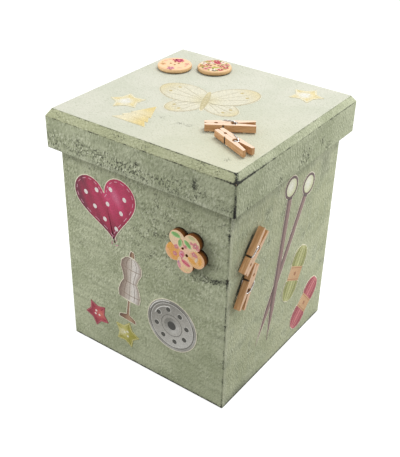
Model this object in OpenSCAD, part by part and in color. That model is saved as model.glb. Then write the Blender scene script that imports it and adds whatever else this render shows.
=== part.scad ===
// Decorative wooden craft box with a lift-off lid.
// The body is five boards: four finger-jointed walls and a base panel let into a rebate at their foot.
// The lid is a bevelled panel on four mitred rails, which drop over the walls.
// Wooden buttons, mini clothes pegs with torsion springs and paper cut-outs are glued on.
// Millimetres. The origin is the middle of the underside, +Z is up, the front faces -Y, the right side +X.

/* [Body] */
// Outside width of the body, left to right
body_w = 110; // [104:1:140]
// Outside depth of the body, front to back
body_d = 110; // [104:1:140]
// Height of the four walls, from the foot to the lid panel
body_h = 146; // [140:1:180]
// Thickness of the walls
wall_t = 5; // [4:0.5:7]
// Thickness of the base panel
base_t = 4; // [3:0.5:6]
// Depth of the rebate in the walls that takes the base panel
rebate_depth = 2; // [1:0.5:3]
// Number of fingers along each corner of the walls
finger_count = 5; // [3:2:9]
// Glue gap in the joints between boards
glue_gap = 0.1; // [0.05:0.05:0.2]
// Radius of the sanded upright corners
corner_r = 0.5; // [0.4:0.1:2]
// Size of the sanded chamfer round the foot
foot_chamfer = 0.4; // [0.2:0.1:2]

/* [Lid] */
// Thickness of the lid panel
lid_panel_t = 4; // [3:0.5:6]
// Inset of the bevels along the lid panel's front and back, over its full thickness
front_bevel_inset = 3.4; // [1:0.1:4]
// Inset of the bevels along the lid panel's sides, over its full thickness
side_bevel_inset = 2.4; // [1:0.1:4]
// Height of the lid's rails below the panel
rail_h = 18; // [14:1:24]
// Thickness of the lid's rails
rail_t = 4; // [3:0.5:5]
// Clearance between the rails and the walls, on each side
lid_clearance = 1; // [0.4:0.1:1.5]
// Size of the sanded chamfer along the rails' lower outer edge
rail_chamfer = 0.2; // [0.2:0.1:1]

/* [Round buttons] */
// Diameter of a round button
button_d = 20; // [15:0.5:22]
// Thickness of a round button
button_t = 3; // [2.6:0.1:4]
// Radius of a round button's softened rim
button_rim_r = 1.2; // [0.4:0.1:1.2]
// Diameter of a sewing hole in a round button
button_hole_d = 1.5; // [1:0.1:2]
// Spacing of the four sewing holes
button_hole_spacing = 3.2; // [2.5:0.1:4.5]
// Left button, from the lid's left edge
left_button_from_left = 17.9; // [14:0.1:22]
// Left button, from the lid's back edge
left_button_from_back = 31.9; // [30:0.1:36]
// Turn of the left button
left_button_turn = -12; // [-90:1:90]
// Right button, from the lid's left edge
right_button_from_left = 38.1; // [37:0.1:44]
// Right button, from the lid's back edge
right_button_from_back = 20.3; // [16:0.1:22]
// Turn of the right button
right_button_turn = -12; // [-90:1:90]

/* [Flower button] */
// Number of petals
petal_count = 5; // [4:1:7]
// Radius of a petal's round end
petal_r = 5; // [4.6:0.1:5.6]
// Distance of the petals' centres from the flower's middle
petal_ring_r = 7.6; // [6.5:0.1:8]
// Thickness of the flower button
flower_t = 3.5; // [2:0.1:4]
// Diameter of a sewing hole in the flower button
flower_hole_d = 1.8; // [1:0.1:2.5]
// Spacing of its two sewing holes
flower_hole_spacing = 4.4; // [3:0.1:6]
// Flower button, from the front wall's right edge
flower_from_right = 24.5; // [18:0.1:30]
// Flower button, below the lid's rails
flower_below_lid = 31.1; // [18:0.1:40]
// Turn of the flower button
flower_turn = 56; // [0:1:180]

/* [Clothes pegs] */
// Length of a peg
peg_len = 25.5; // [22:0.5:27]
// Width of a peg's legs, measured off the surface that it lies on
peg_width = 3.6; // [3:0.1:4.5]
// Thickness of a leg at the tip
leg_tip_t = 2.5; // [2.3:0.1:3]
// Angle at which a leg's outer face spreads towards the tail
leg_spread = 1.9; // [1:0.1:3]
// Distance of the spring's coil from the tip
coil_from_tip = 14.8; // [13:0.1:16]
// Half angle of the gap between the two tails
tail_half_angle = 9; // [8:0.5:10]
// Gap between the closed jaws
jaw_gap = 0.1; // [0.05:0.05:0.3]
// Length of the bevel inside the mouth
mouth_len = 1.6; // [0.5:0.1:2.5]
// Depth of the bevel at the tip of each leg
mouth_depth = 0.6; // [0.2:0.1:1]
// Distance of the clothes-line hole from the tip
line_hole_from_tip = 5.8; // [5:0.1:7]
// Radius of the hollow that each leg adds to the clothes-line hole
line_hole_r = 1.2; // [0.8:0.1:1.5]
// Depth of that hollow
line_hole_depth = 0.7; // [0.3:0.1:1]
// Distance of the wire groove from the tip
groove_from_tip = 9.2; // [8.5:0.1:10]
// Radius of the wire groove
groove_r = 0.55; // [0.45:0.05:0.7]

/* [Peg springs] */
// Diameter of the spring wire
wire_d = 0.6; // [0.4:0.05:0.7]
// Radius of the coil, to the middle of the wire
coil_r = 1.3; // [1.1:0.05:1.4]
// Rise of the coil in one turn
coil_pitch = 1.4; // [1.2:0.05:1.5]
// Clearance round the coil in its notch
coil_clearance = 0.2; // [0.1:0.05:0.3]
// Clearance between the wire and the wood
wire_clearance = 0.06; // [0.04:0.02:0.1]
// Depth to which the wire sits below a leg's outer face
wire_sink = 0.45; // [0.3:0.05:0.5]
// Length of the arm, from the coil, in which the wire climbs over the leg's side
arm_rise_run = 0.7; // [0.5:0.1:0.8]
// Corner cut where the arm turns into the groove
arm_corner_cut = 0.2; // [0.1:0.05:0.25]
// Distance of the wire's end from the far side of the leg
wire_end_inset = 0.4; // [0.2:0.1:1]

/* [Peg places] */
// Diameter of the glue dots that carry a peg
glue_dot_d = 2; // [1.5:0.1:2.2]
// Front glue dot, from the peg's tip
front_glue_from_tip = 3.4; // [2:0.1:4]
// Rear glue dot, from the peg's tip
rear_glue_from_tip = 19.5; // [18.5:0.1:21]
// Tip of the back peg on the lid, from the lid's right edge
lid_back_peg_from_right = 39.8; // [38:0.1:44]
// Tip of the back peg on the lid, from the lid's front edge
lid_back_peg_from_front = 30.6; // [29:0.1:34]
// Direction of the back peg on the lid
lid_back_peg_turn = 35; // [30:1:50]
// Tip of the front peg on the lid, from the lid's right edge
lid_front_peg_from_right = 30.1; // [28:0.1:31]
// Tip of the front peg on the lid, from the lid's front edge
lid_front_peg_from_front = 29.1; // [24:0.1:30]
// Direction of the front peg on the lid
lid_front_peg_turn = -22; // [-40:1:-15]
// Tip of the upper peg on the wall, from the wall's front edge
wall_upper_peg_from_front = 9.5; // [6:0.1:11]
// Tip of the upper peg on the wall, below the lid's rails
wall_upper_peg_below_lid = 40.4; // [36:0.1:42]
// Direction of the upper peg on the wall, up from the horizontal
wall_upper_peg_turn = 46; // [40:1:60]
// Tip of the lower peg on the wall, from the wall's front edge
wall_lower_peg_from_front = 20; // [19:0.1:24]
// Tip of the lower peg on the wall, below the lid's rails
wall_lower_peg_below_lid = 39.4; // [39:0.1:46]
// Direction of the lower peg on the wall, up from the horizontal
wall_lower_peg_turn = 242; // [230:1:260]

/* [Paper cut-outs on the lid] */
// Thickness of the paper with its varnish
paper_t = 0.25; // [0.15:0.05:0.4]
// Length of the butterfly's upper wings
upper_wing_len = 32; // [24:0.5:33]
// Width of the butterfly's upper wings
upper_wing_w = 22; // [16:0.5:23]
// Length of the butterfly's lower wings
lower_wing_len = 24; // [16:0.5:25]
// Width of the butterfly's lower wings
lower_wing_w = 16; // [11:0.5:17]
// Length of the butterfly's body
butterfly_body_len = 26; // [18:0.5:28]
// Width of the butterfly's body
butterfly_body_w = 4.5; // [3:0.5:6]
// Turn of the butterfly
butterfly_turn = 24; // [0:1:40]
// Radius of the hollows between a star's points, as a share of its outer radius
star_waist = 0.6; // [0.45:0.01:0.65]
// Outer radius of the stars on the lid
lid_star_r = 10; // [8:0.1:10.2]
// Turn of the left star on the lid
lid_left_star_turn = 28; // [-36:1:36]
// Turn of the right star on the lid
lid_right_star_turn = -5; // [-36:1:36]
// Left star, from the lid's left edge
lid_left_star_from_left = 27.1; // [24:0.1:28]
// Left star, from the lid's front edge
lid_left_star_from_front = 34.3; // [34:0.1:38]
// Right star, from the lid's right edge
lid_right_star_from_right = 21.3; // [16:0.1:24]
// Right star, from the lid's back edge
lid_right_star_from_back = 19.4; // [16:0.1:24]
// Height of the fir tree
tree_h = 23; // [20:0.5:24]
// Height of each of the fir tree's tiers, which overlap
tree_tier_h = 13; // [11:0.5:15]
// Width of the fir tree's lowest tier
tree_w = 21.5; // [18:0.5:22]
// Middle of the fir tree, from the lid's left edge
tree_from_left = 44.3; // [43.5:0.1:46]
// Middle of the fir tree, from the lid's front edge
tree_from_front = 26.3; // [24:0.1:28]
// Turn of the fir tree
tree_turn = 0; // [-6:1:6]

/* [Paper cut-outs on the front wall] */
// Width of the heart
heart_w = 44; // [38:0.5:46]
// Middle of the heart, from the wall's left edge
heart_from_left = 31; // [28:0.1:32]
// Middle of the heart, below the lid's rails
heart_below_lid = 25; // [22:0.1:26]
// Tilt of the heart
heart_turn = 12; // [0:1:20]
// Height of the dress form with its stand
form_h = 50; // [40:0.5:52]
// Half width of the dress form at the hips
form_hip = 8.2; // [6:0.1:9]
// Dress form, from the wall's left edge
form_from_left = 43; // [40:0.1:44]
// Foot of the dress form's stand, above the foot of the box
form_above_foot = 30; // [29.8:0.1:32]
// Tilt of the dress form
form_turn = -6; // [-8:1:-2]
// Diameter of the bobbin
bobbin_d = 34; // [28:0.5:36]
// Middle of the bobbin, from the wall's right edge
bobbin_from_right = 35; // [30:0.1:36]
// Middle of the bobbin, above the foot of the box
bobbin_above_foot = 42; // [30:0.1:44]
// Outer radius of the stars on the front wall
front_star_r = 9.3; // [7.5:0.1:9.5]
// Turn of the red star
red_star_turn = 30; // [-36:1:36]
// Turn of the green star
green_star_turn = -14; // [-36:1:36]
// Red star, from the wall's left edge
red_star_from_left = 19.5; // [14:0.1:21]
// Red star, above the foot of the box
red_star_above_foot = 23.9; // [16:0.1:30]
// Green star, from the wall's left edge
green_star_from_left = 42.1; // [39:0.1:43]
// Green star, above the foot of the box
green_star_above_foot = 19.6; // [14:0.1:19.8]

/* [Paper cut-outs on the right wall] */
// Length of a knitting needle
needle_len = 104; // [80:0.5:106]
// Width of a knitting needle below its knob
needle_w = 5.4; // [4:0.1:6]
// Radius of the needle's knob
needle_knob_r = 7; // [5:0.1:7.5]
// Where the needles cross, from the wall's front edge
needles_from_front = 49; // [46:0.1:52]
// Where the needles cross, above the foot of the box
needles_above_foot = 57; // [55:0.1:58]
// Where the needles cross, from their points
needles_cross_from_point = 38; // [34:0.1:39]
// Lean of the first needle, from upright
first_needle_lean = -28; // [-30:1:-20]
// Lean of the second needle, from upright
second_needle_lean = -8; // [-12:1:0]
// Length of a skein of yarn
skein_len = 36; // [30:0.5:38]
// Width of a skein
skein_w = 18; // [14:0.5:19]
// Width of the paper band round a skein
skein_band_w = 9; // [6:0.5:11]
// How far the band stands in from the skein's edge
skein_waist = 1.2; // [0.6:0.1:2]
// Middle of the green skein, from the wall's back edge
green_skein_from_back = 39; // [37:0.1:41]
// Middle of the green skein, above the foot of the box
green_skein_above_foot = 52; // [50:0.1:58]
// Turn of the green skein, from the horizontal
green_skein_turn = 62; // [55:1:70]
// Middle of the red skein, from the wall's back edge
red_skein_from_back = 23; // [21:0.1:25]
// Middle of the red skein, above the foot of the box
red_skein_above_foot = 21; // [19:0.1:23]
// Turn of the red skein, from the horizontal
red_skein_turn = 42; // [35:1:48]

/* [Hidden] */

// Facets round a full circle
$fn = 48;
// Overlap of a cutting shape past the face that it cuts
cut = 1;

paint = "#9ba587";
pale_paint = "#dfe3cc";
bare_wood = "#d9bd8c";
peg_wood = "#d2a468";
steel = "#b9bbbd";
cream = "#ece6cd";

finger_h = body_h / finger_count;
lid_w = body_w + 2 * (lid_clearance + rail_t);
lid_d = body_d + 2 * (lid_clearance + rail_t);
lid_top = body_h + lid_panel_t;
rail_foot = body_h - rail_h;

// Height of a peg's legs off the surface: the lower arm of the spring passes under them
standoff = wire_d + 2 * wire_clearance;
// Middle line of the wire where it lies in the groove of a leg
groove_wire_v = leg_tip_t + groove_from_tip * tan(leg_spread) - wire_sink + wire_d / 2;

// Boards of the body

// A rectangle with rounded corners, centred on the origin
module rounded_rectangle(width, depth, radius) {
    square([width - 2 * radius, depth], center = true);
    square([width, depth - 2 * radius], center = true);
    for (x = [-1, 1], y = [-1, 1])
        translate([x * (width / 2 - radius), y * (depth / 2 - radius)])
            circle(r = radius);
}

// A triangular prism along X that cuts a chamfer off an edge at the origin
module chamfer_cutter(length, size) {
    rotate([90, 0, 90])
        linear_extrude(length + 2 * cut, center = true)
            polygon([[-cut, -cut], [size + cut, -cut], [-cut, size + cut]]);
}

// The outline of the whole body: sanded corners and a chamfered foot
module body_envelope() {
    difference() {
        linear_extrude(body_h)
            rounded_rectangle(body_w, body_d, corner_r);
        for (turn = [0, 180])
            rotate(turn) {
                translate([0, -body_d / 2, 0])
                    chamfer_cutter(body_w, foot_chamfer);
                rotate(90)
                    translate([0, -body_w / 2, 0])
                        chamfer_cutter(body_d, foot_chamfer);
            }
    }
}

// The space at the foot of the walls that takes the base panel
module base_pocket() {
    translate([0, 0, (base_t + glue_gap - cut) / 2])
        cube([body_w - 2 * (wall_t - rebate_depth), body_d - 2 * (wall_t - rebate_depth),
              base_t + glue_gap + cut], center = true);
}

// Cuts the gaps between a board's fingers off both ends of a board that runs along X at Y = 0
module finger_gaps(length, first) {
    for (i = [first:2:finger_count - 1], x = [-1, 1])
        translate([x * (length / 2 - (wall_t + glue_gap) / 2 + cut / 2), 0, (i + 0.5) * finger_h])
            cube([wall_t + glue_gap + cut, 2 * wall_t + 2 * cut,
                  finger_h + (i == 0 || i == finger_count - 1 ? cut : glue_gap)], center = true);
}

// A front or back wall, standing along X at Y = 0 with its outer face at -Y
module long_wall() {
    difference() {
        translate([-body_w / 2, 0, 0])
            cube([body_w, wall_t, body_h]);
        finger_gaps(body_w, 1);
    }
}

// A side wall, standing along X at Y = 0 with its outer face at -Y
module short_wall() {
    difference() {
        translate([-body_d / 2, 0, 0])
            cube([body_d, wall_t, body_h]);
        finger_gaps(body_d, 0);
    }
}

module trimmed_wall() {
    difference() {
        intersection() {
            children();
            body_envelope();
        }
        base_pocket();
    }
}

module base_panel() {
    color(bare_wood)
        translate([0, 0, base_t / 2])
            cube([body_w - 2 * (wall_t - rebate_depth) - 2 * glue_gap,
                  body_d - 2 * (wall_t - rebate_depth) - 2 * glue_gap, base_t], center = true);
}

module front_wall() {
    color(paint)
        trimmed_wall()
            translate([0, -body_d / 2, 0])
                long_wall();
}

module back_wall() {
    color(paint)
        trimmed_wall()
            rotate(180)
                translate([0, -body_d / 2, 0])
                    long_wall();
}

module left_wall() {
    color(paint)
        trimmed_wall()
            rotate(-90)
                translate([0, -body_w / 2, 0])
                    short_wall();
}

module right_wall() {
    color(paint)
        trimmed_wall()
            rotate(90)
                translate([0, -body_w / 2, 0])
                    short_wall();
}

// Lid

module lid_outline() {
    rounded_rectangle(lid_w, lid_d, corner_r);
}

// A bar along Y whose cross-section is the panel's: full width below, less the bevels above
module bevelled_bar(width, length, inset) {
    rotate([90, 0, 0])
        linear_extrude(length, center = true)
            polygon([[-width / 2, 0], [width / 2, 0],
                     [width / 2 - inset, lid_panel_t], [inset - width / 2, lid_panel_t]]);
}

module lid_panel() {
    color(pale_paint)
        translate([0, 0, body_h])
            intersection() {
                bevelled_bar(lid_w, lid_d, side_bevel_inset);
                rotate(90)
                    bevelled_bar(lid_d, lid_w, front_bevel_inset);
                linear_extrude(lid_panel_t)
                    lid_outline();
            }
}

// A mitred rail along X with its outer face at Y = 0, facing -Y
module mitred_rail(length) {
    half = length / 2 - glue_gap / sqrt(2);
    linear_extrude(rail_h)
        polygon([[-half, 0], [half, 0], [half - rail_t, rail_t], [rail_t - half, rail_t]]);
}

module placed_rail(turn, length, distance) {
    color(paint)
        translate([0, 0, rail_foot])
            intersection() {
                rotate(turn)
                    translate([0, -distance, 0])
                        difference() {
                            mitred_rail(length);
                            chamfer_cutter(length, rail_chamfer);
                        }
                linear_extrude(rail_h)
                    lid_outline();
            }
}

module lid_front_rail() placed_rail(0, lid_w, lid_d / 2);

module lid_right_rail() placed_rail(90, lid_d, lid_w / 2);

module lid_back_rail() placed_rail(180, lid_w, lid_d / 2);

module lid_left_rail() placed_rail(270, lid_d, lid_w / 2);

// Places on the lid, the front wall and the right wall

// A place on top of the lid, given from two of its edges: X runs right and Y runs back
module on_lid(x, y, turn) {
    translate([x, y, lid_top])
        rotate(turn)
            children();
}

// A place on the front wall: X runs right, Y runs up and Z leaves the wall
module on_front(x, z, turn) {
    translate([x, -body_d / 2, z])
        rotate([90, 0, 0])
            rotate(turn)
                children();
}

// A place on the right wall: X runs back, Y runs up and Z leaves the wall
module on_right(y, z, turn) {
    translate([body_w / 2, y, z])
        rotate([90, 0, 90])
            rotate(turn)
                children();
}

// Buttons

module round_button() {
    difference() {
        rotate_extrude() {
            square([button_d / 2 - button_rim_r, button_t]);
            translate([0, button_rim_r])
                square([button_d / 2, button_t - 2 * button_rim_r]);
            for (z = [button_rim_r, button_t - button_rim_r])
                translate([button_d / 2 - button_rim_r, z])
                    circle(r = button_rim_r);
        }
        for (x = [-1, 1], y = [-1, 1])
            translate([x * button_hole_spacing / 2, y * button_hole_spacing / 2, -cut])
                cylinder(d = button_hole_d, h = button_t + 2 * cut);
    }
}

module left_round_button() {
    color("#e8c9a0")
        on_lid(left_button_from_left - lid_w / 2, lid_d / 2 - left_button_from_back, left_button_turn)
            round_button();
}

module right_round_button() {
    color("#dba48e")
        on_lid(right_button_from_left - lid_w / 2, lid_d / 2 - right_button_from_back, right_button_turn)
            round_button();
}

module flower_button() {
    color("#ecdcb4")
        on_front(body_w / 2 - flower_from_right, rail_foot - flower_below_lid, flower_turn)
            difference() {
                linear_extrude(flower_t) {
                    circle(r = petal_ring_r);
                    for (i = [0:petal_count - 1])
                        rotate(i * 360 / petal_count)
                            translate([petal_ring_r, 0])
                                circle(r = petal_r);
                }
                rotate(360 / petal_count)
                    for (x = [-1, 1])
                        translate([x * flower_hole_spacing / 2, 0, -cut])
                            cylinder(d = flower_hole_d, h = flower_t + 2 * cut);
            }
}

// Clothes pegs: X runs from the tip to the tail, the two legs lie on either side of Y = 0

// Distance of a leg's outer face from the middle of the peg
function outer_face(u) = leg_tip_t + u * tan(leg_spread);

// Outline of the leg on the +Y side
module leg_outline() {
    polygon([[0, mouth_depth], [mouth_len, jaw_gap / 2], [coil_from_tip, jaw_gap / 2],
             [peg_len, jaw_gap / 2 + (peg_len - coil_from_tip) * tan(tail_half_angle)],
             [peg_len, outer_face(peg_len)], [0, outer_face(0)]]);
}

// One leg: side is 1 for the leg on the +Y side, -1 for the other
module peg_leg(side) {
    color(peg_wood)
        mirror([0, (1 - side) / 2, 0])
            translate([0, 0, standoff])
                linear_extrude(peg_width)
                    difference() {
                        leg_outline();
                        translate([line_hole_from_tip, jaw_gap / 2 + line_hole_depth - line_hole_r])
                            circle(r = line_hole_r);
                        translate([coil_from_tip, 0])
                            circle(r = coil_r + wire_d / 2 + coil_clearance);
                        translate([groove_from_tip,
                                   groove_wire_v - wire_d / 2 - wire_clearance + groove_r])
                            circle(r = groove_r);
                    }
}

// The two dots of glue under the leg on one side
module leg_glue(side) {
    for (u = [front_glue_from_tip, rear_glue_from_tip]) {
        inner = jaw_gap / 2 + max(0, u - coil_from_tip) * tan(tail_half_angle);
        translate([u, side * (inner + outer_face(u)) / 2, 0])
            cylinder(d = glue_dot_d, h = standoff);
    }
}

// Springs: one unbroken wire, from the groove of one leg through the coil to the groove of the other

// Rings of the tube in one turn of the coil, and sides of the tube
rings_per_turn = 8;
wire_sides = 6;

spring_middle = standoff + peg_width / 2;
arm_height = peg_width / 2 + wire_clearance + wire_d / 2;

groove_offset = [groove_from_tip - coil_from_tip, groove_wire_v];
groove_distance = norm(groove_offset);
// Angle at which the wire leaves the coil, so that the arm runs straight to the groove
leave_angle = atan2(groove_offset.y, groove_offset.x) - acos(coil_r / groove_distance);
// The coil makes one more full turn on each side of its middle before the arms leave it
coil_half_angle = leave_angle + 360;
arm_len = sqrt(groove_distance * groove_distance - coil_r * coil_r);
arm_direction = [-sin(leave_angle), cos(leave_angle)];

coil_steps = ceil(2 * coil_half_angle / 360 * rings_per_turn);

function coil_point(angle) =
    [coil_r * cos(angle), coil_r * sin(angle), coil_pitch * angle / 360];

// A point of the upper arm: run is its distance from the coil, height its distance from the middle
function arm_point(run, height) =
    [coil_r * cos(leave_angle) + run * arm_direction.x,
     coil_r * sin(leave_angle) + run * arm_direction.y, height];

upper_arm = [
    arm_point(arm_rise_run, arm_height),
    arm_point(arm_len / 2, arm_height),
    arm_point(arm_len - arm_corner_cut, arm_height),
    arm_point(arm_len, arm_height - arm_corner_cut),
    arm_point(arm_len, 0),
    arm_point(arm_len, wire_end_inset - peg_width / 2)
];

// The lower arm is the upper one turned half a turn about the peg's length
lower_arm = [for (i = [len(upper_arm) - 1:-1:0]) [upper_arm[i].x, -upper_arm[i].y, -upper_arm[i].z]];

spring_path = concat(
    lower_arm,
    [for (i = [0:coil_steps]) coil_point(coil_half_angle * (2 * i / coil_steps - 1))],
    upper_arm
);

function unit(v) = v / norm(v);

function tangent(path, i) =
    unit(path[min(i + 1, len(path) - 1)] - path[max(i - 1, 0)]);

// The part of a direction that is square to a tangent
function squared(direction, along) = unit(direction - (direction * along) * along);

// A side direction for every point of the path, carried along it without twist
function side_directions(path) =
    [for (i = 0, side = squared([1, 0, 0], tangent(path, 0));
          i < len(path);
          i = i + 1, side = squared(side, tangent(path, min(i, len(path) - 1))))
        side];

module tube(path, diameter, sides) {
    side = side_directions(path);
    points = [for (i = [0:len(path) - 1], k = [0:sides - 1])
        path[i] + diameter / 2 * (cos(360 * k / sides) * side[i]
                                  + sin(360 * k / sides) * cross(tangent(path, i), side[i]))];
    last = (len(path) - 1) * sides;
    walls = [for (i = [0:len(path) - 2], k = [0:sides - 1], half = [0, 1])
        let (a = i * sides + k, b = i * sides + (k + 1) % sides)
            half == 0 ? [a, a + sides, b] : [b, a + sides, b + sides]];
    ends = [for (k = [1:sides - 2], end = [0, 1])
        end == 0 ? [0, k, k + 1] : [last, last + k + 1, last + k]];
    polyhedron(points, concat(walls, ends));
}

// Points that lie closer along the wire than half a turn are left out of the measure
spring_gap = min([for (i = [0:len(spring_path) - 1], j = [i + rings_per_turn / 2:1:len(spring_path) - 1])
    norm(spring_path[i] - spring_path[j])]) - wire_d;
echo(str("Least gap of a peg spring's wire to itself: ", spring_gap, " mm"));

module peg_spring() {
    color(steel)
        translate([coil_from_tip, 0, spring_middle])
            tube(spring_path, wire_d, wire_sides);
}

// Places of the four pegs
module at_lid_back_peg() {
    on_lid(lid_w / 2 - lid_back_peg_from_right, lid_back_peg_from_front - lid_d / 2, lid_back_peg_turn)
        children();
}

module at_lid_front_peg() {
    on_lid(lid_w / 2 - lid_front_peg_from_right, lid_front_peg_from_front - lid_d / 2, lid_front_peg_turn)
        children();
}

module at_wall_upper_peg() {
    on_right(wall_upper_peg_from_front - body_d / 2, rail_foot - wall_upper_peg_below_lid,
             wall_upper_peg_turn)
        children();
}

module at_wall_lower_peg() {
    on_right(wall_lower_peg_from_front - body_d / 2, rail_foot - wall_lower_peg_below_lid,
             wall_lower_peg_turn)
        children();
}

// Each peg opens away from its neighbour: this is the side of its moving leg
lid_back_moving = 1;
lid_front_moving = -1;
wall_upper_moving = 1;
wall_lower_moving = 1;

module lid_back_peg_glued_leg() at_lid_back_peg() peg_leg(-lid_back_moving);

module lid_back_peg_moving_leg() at_lid_back_peg() peg_leg(lid_back_moving);

module lid_back_peg_spring() at_lid_back_peg() peg_spring();

module lid_front_peg_glued_leg() at_lid_front_peg() peg_leg(-lid_front_moving);

module lid_front_peg_moving_leg() at_lid_front_peg() peg_leg(lid_front_moving);

module lid_front_peg_spring() at_lid_front_peg() peg_spring();

module wall_upper_peg_glued_leg() at_wall_upper_peg() peg_leg(-wall_upper_moving);

module wall_upper_peg_moving_leg() at_wall_upper_peg() peg_leg(wall_upper_moving);

module wall_upper_peg_spring() at_wall_upper_peg() peg_spring();

module wall_lower_peg_glued_leg() at_wall_lower_peg() peg_leg(-wall_lower_moving);

module wall_lower_peg_moving_leg() at_wall_lower_peg() peg_leg(wall_lower_moving);

module wall_lower_peg_spring() at_wall_lower_peg() peg_spring();

module lid_peg_glue() {
    color(cream) {
        at_lid_back_peg() leg_glue(-lid_back_moving);
        at_lid_front_peg() leg_glue(-lid_front_moving);
    }
}

module wall_peg_glue() {
    color(cream) {
        at_wall_upper_peg() leg_glue(-wall_upper_moving);
        at_wall_lower_peg() leg_glue(-wall_lower_moving);
    }
}

// Paper cut-outs

// An ellipse centred on the origin
module ellipse(length, width) {
    polygon([for (a = [0:360 / $fn:359]) [length / 2 * cos(a), width / 2 * sin(a)]]);
}

// A plump five-pointed star with one point up
module star(radius) {
    points = 5;
    inner = star_waist * radius;
    polygon([for (i = [0:2 * points - 1])
        let (r = i % 2 == 0 ? radius : inner, a = 90 + i * 180 / points)
            [r * cos(a), r * sin(a)]]);
}

module heart(width) {
    size = width / 32;
    polygon([for (a = [0:6:354])
        size * [16 * pow(sin(a), 3), 13 * cos(a) - 5 * cos(2 * a) - 2 * cos(3 * a) - cos(4 * a)]]);
}

// Four wings and a body, the head at +Y
module butterfly() {
    wing_lift = 32;
    wing_drop = -38;
    for (side = [0, 1])
        mirror([side, 0]) {
            rotate(wing_lift)
                translate([upper_wing_len / 2, 0])
                    ellipse(upper_wing_len, upper_wing_w);
            rotate(wing_drop)
                translate([lower_wing_len / 2, 0])
                    ellipse(lower_wing_len, lower_wing_w);
        }
    ellipse(butterfly_body_w, butterfly_body_len);
}

// A fir tree of three tiers, centred on the origin
module fir_tree() {
    tiers = 3;
    step = (tree_h - tree_tier_h) / (tiers - 1);
    for (i = [0:tiers - 1]) {
        foot = i * step - tree_h / 2;
        half = tree_w / 2 * (1 - 0.2 * i);
        polygon([[-half, foot], [half, foot], [0, foot + tree_tier_h]]);
    }
}

// A dressmaker's form on its stand: half widths, as shares of the hips, at heights from foot to top
form_profile = [
    [0.00, 0.80], [0.05, 0.74], [0.09, 0.16], [0.29, 0.13], [0.31, 0.92], [0.40, 1.00], [0.50, 0.84],
    [0.58, 0.60], [0.66, 0.72], [0.74, 0.94], [0.82, 0.90], [0.88, 0.62], [0.91, 0.28], [0.96, 0.24],
    [1.00, 0.14]
];

module dress_form() {
    right = [for (p = form_profile) [form_hip * p[1], form_h * p[0]]];
    left = [for (i = [len(right) - 1:-1:0]) [-right[i].x, right[i].y]];
    polygon(concat(right, left));
}

// A tapered knitting needle with its knob up; the origin is where it crosses the other one
module needle() {
    translate([0, -needles_cross_from_point]) {
        polygon([[0, 0], [needle_w / 2, needle_len / 5], [needle_w / 2, needle_len - needle_knob_r],
                 [-needle_w / 2, needle_len - needle_knob_r], [-needle_w / 2, needle_len / 5]]);
        translate([0, needle_len - needle_knob_r])
            circle(r = needle_knob_r);
    }
}

// A skein of yarn with a paper band round its waist
module skein() {
    for (x = [-1, 1])
        translate([x * (skein_len - skein_w) / 2, 0])
            circle(d = skein_w);
    for (x = [-1, 1])
        translate([x * (skein_len - skein_w + skein_band_w) / 4, 0])
            square([(skein_len - skein_w - skein_band_w) / 2, skein_w], center = true);
    square([skein_band_w, skein_w - 2 * skein_waist], center = true);
}

module lid_butterfly_print() {
    color(cream)
        on_lid(0, 0, butterfly_turn)
            linear_extrude(paper_t)
                butterfly();
}

module lid_left_star_print() {
    color("#d9c98a")
        on_lid(lid_left_star_from_left - lid_w / 2, lid_left_star_from_front - lid_d / 2,
               lid_left_star_turn)
            linear_extrude(paper_t)
                star(lid_star_r);
}

module lid_right_star_print() {
    color("#d9c98a")
        on_lid(lid_w / 2 - lid_right_star_from_right, lid_d / 2 - lid_right_star_from_back,
               lid_right_star_turn)
            linear_extrude(paper_t)
                star(lid_star_r);
}

module lid_tree_print() {
    color("#d9c98a")
        on_lid(tree_from_left - lid_w / 2, tree_from_front - lid_d / 2, tree_turn)
            linear_extrude(paper_t)
                fir_tree();
}

module front_heart_print() {
    color("#b3203f")
        on_front(heart_from_left - body_w / 2, rail_foot - heart_below_lid, heart_turn)
            linear_extrude(paper_t)
                heart(heart_w);
}

module front_dress_form_print() {
    color("#b9a892")
        on_front(form_from_left - body_w / 2, form_above_foot, form_turn)
            linear_extrude(paper_t)
                dress_form();
}

module front_bobbin_print() {
    color("#9fa3a3")
        on_front(body_w / 2 - bobbin_from_right, bobbin_above_foot, 0)
            linear_extrude(paper_t)
                circle(d = bobbin_d);
}

module front_red_star_print() {
    color("#a8283f")
        on_front(red_star_from_left - body_w / 2, red_star_above_foot, red_star_turn)
            linear_extrude(paper_t)
                star(front_star_r);
}

module front_green_star_print() {
    color("#a9b341")
        on_front(green_star_from_left - body_w / 2, green_star_above_foot, green_star_turn)
            linear_extrude(paper_t)
                star(front_star_r);
}

module right_needles_print() {
    color("#8c6a68")
        on_right(needles_from_front - body_d / 2, needles_above_foot, 0)
            linear_extrude(paper_t)
                for (lean = [first_needle_lean, second_needle_lean])
                    rotate(lean)
                        needle();
}

module right_green_skein_print() {
    color("#7f9440")
        on_right(body_d / 2 - green_skein_from_back, green_skein_above_foot, green_skein_turn)
            linear_extrude(paper_t)
                skein();
}

module right_red_skein_print() {
    color("#a12c35")
        on_right(body_d / 2 - red_skein_from_back, red_skein_above_foot, red_skein_turn)
            linear_extrude(paper_t)
                skein();
}

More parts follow.
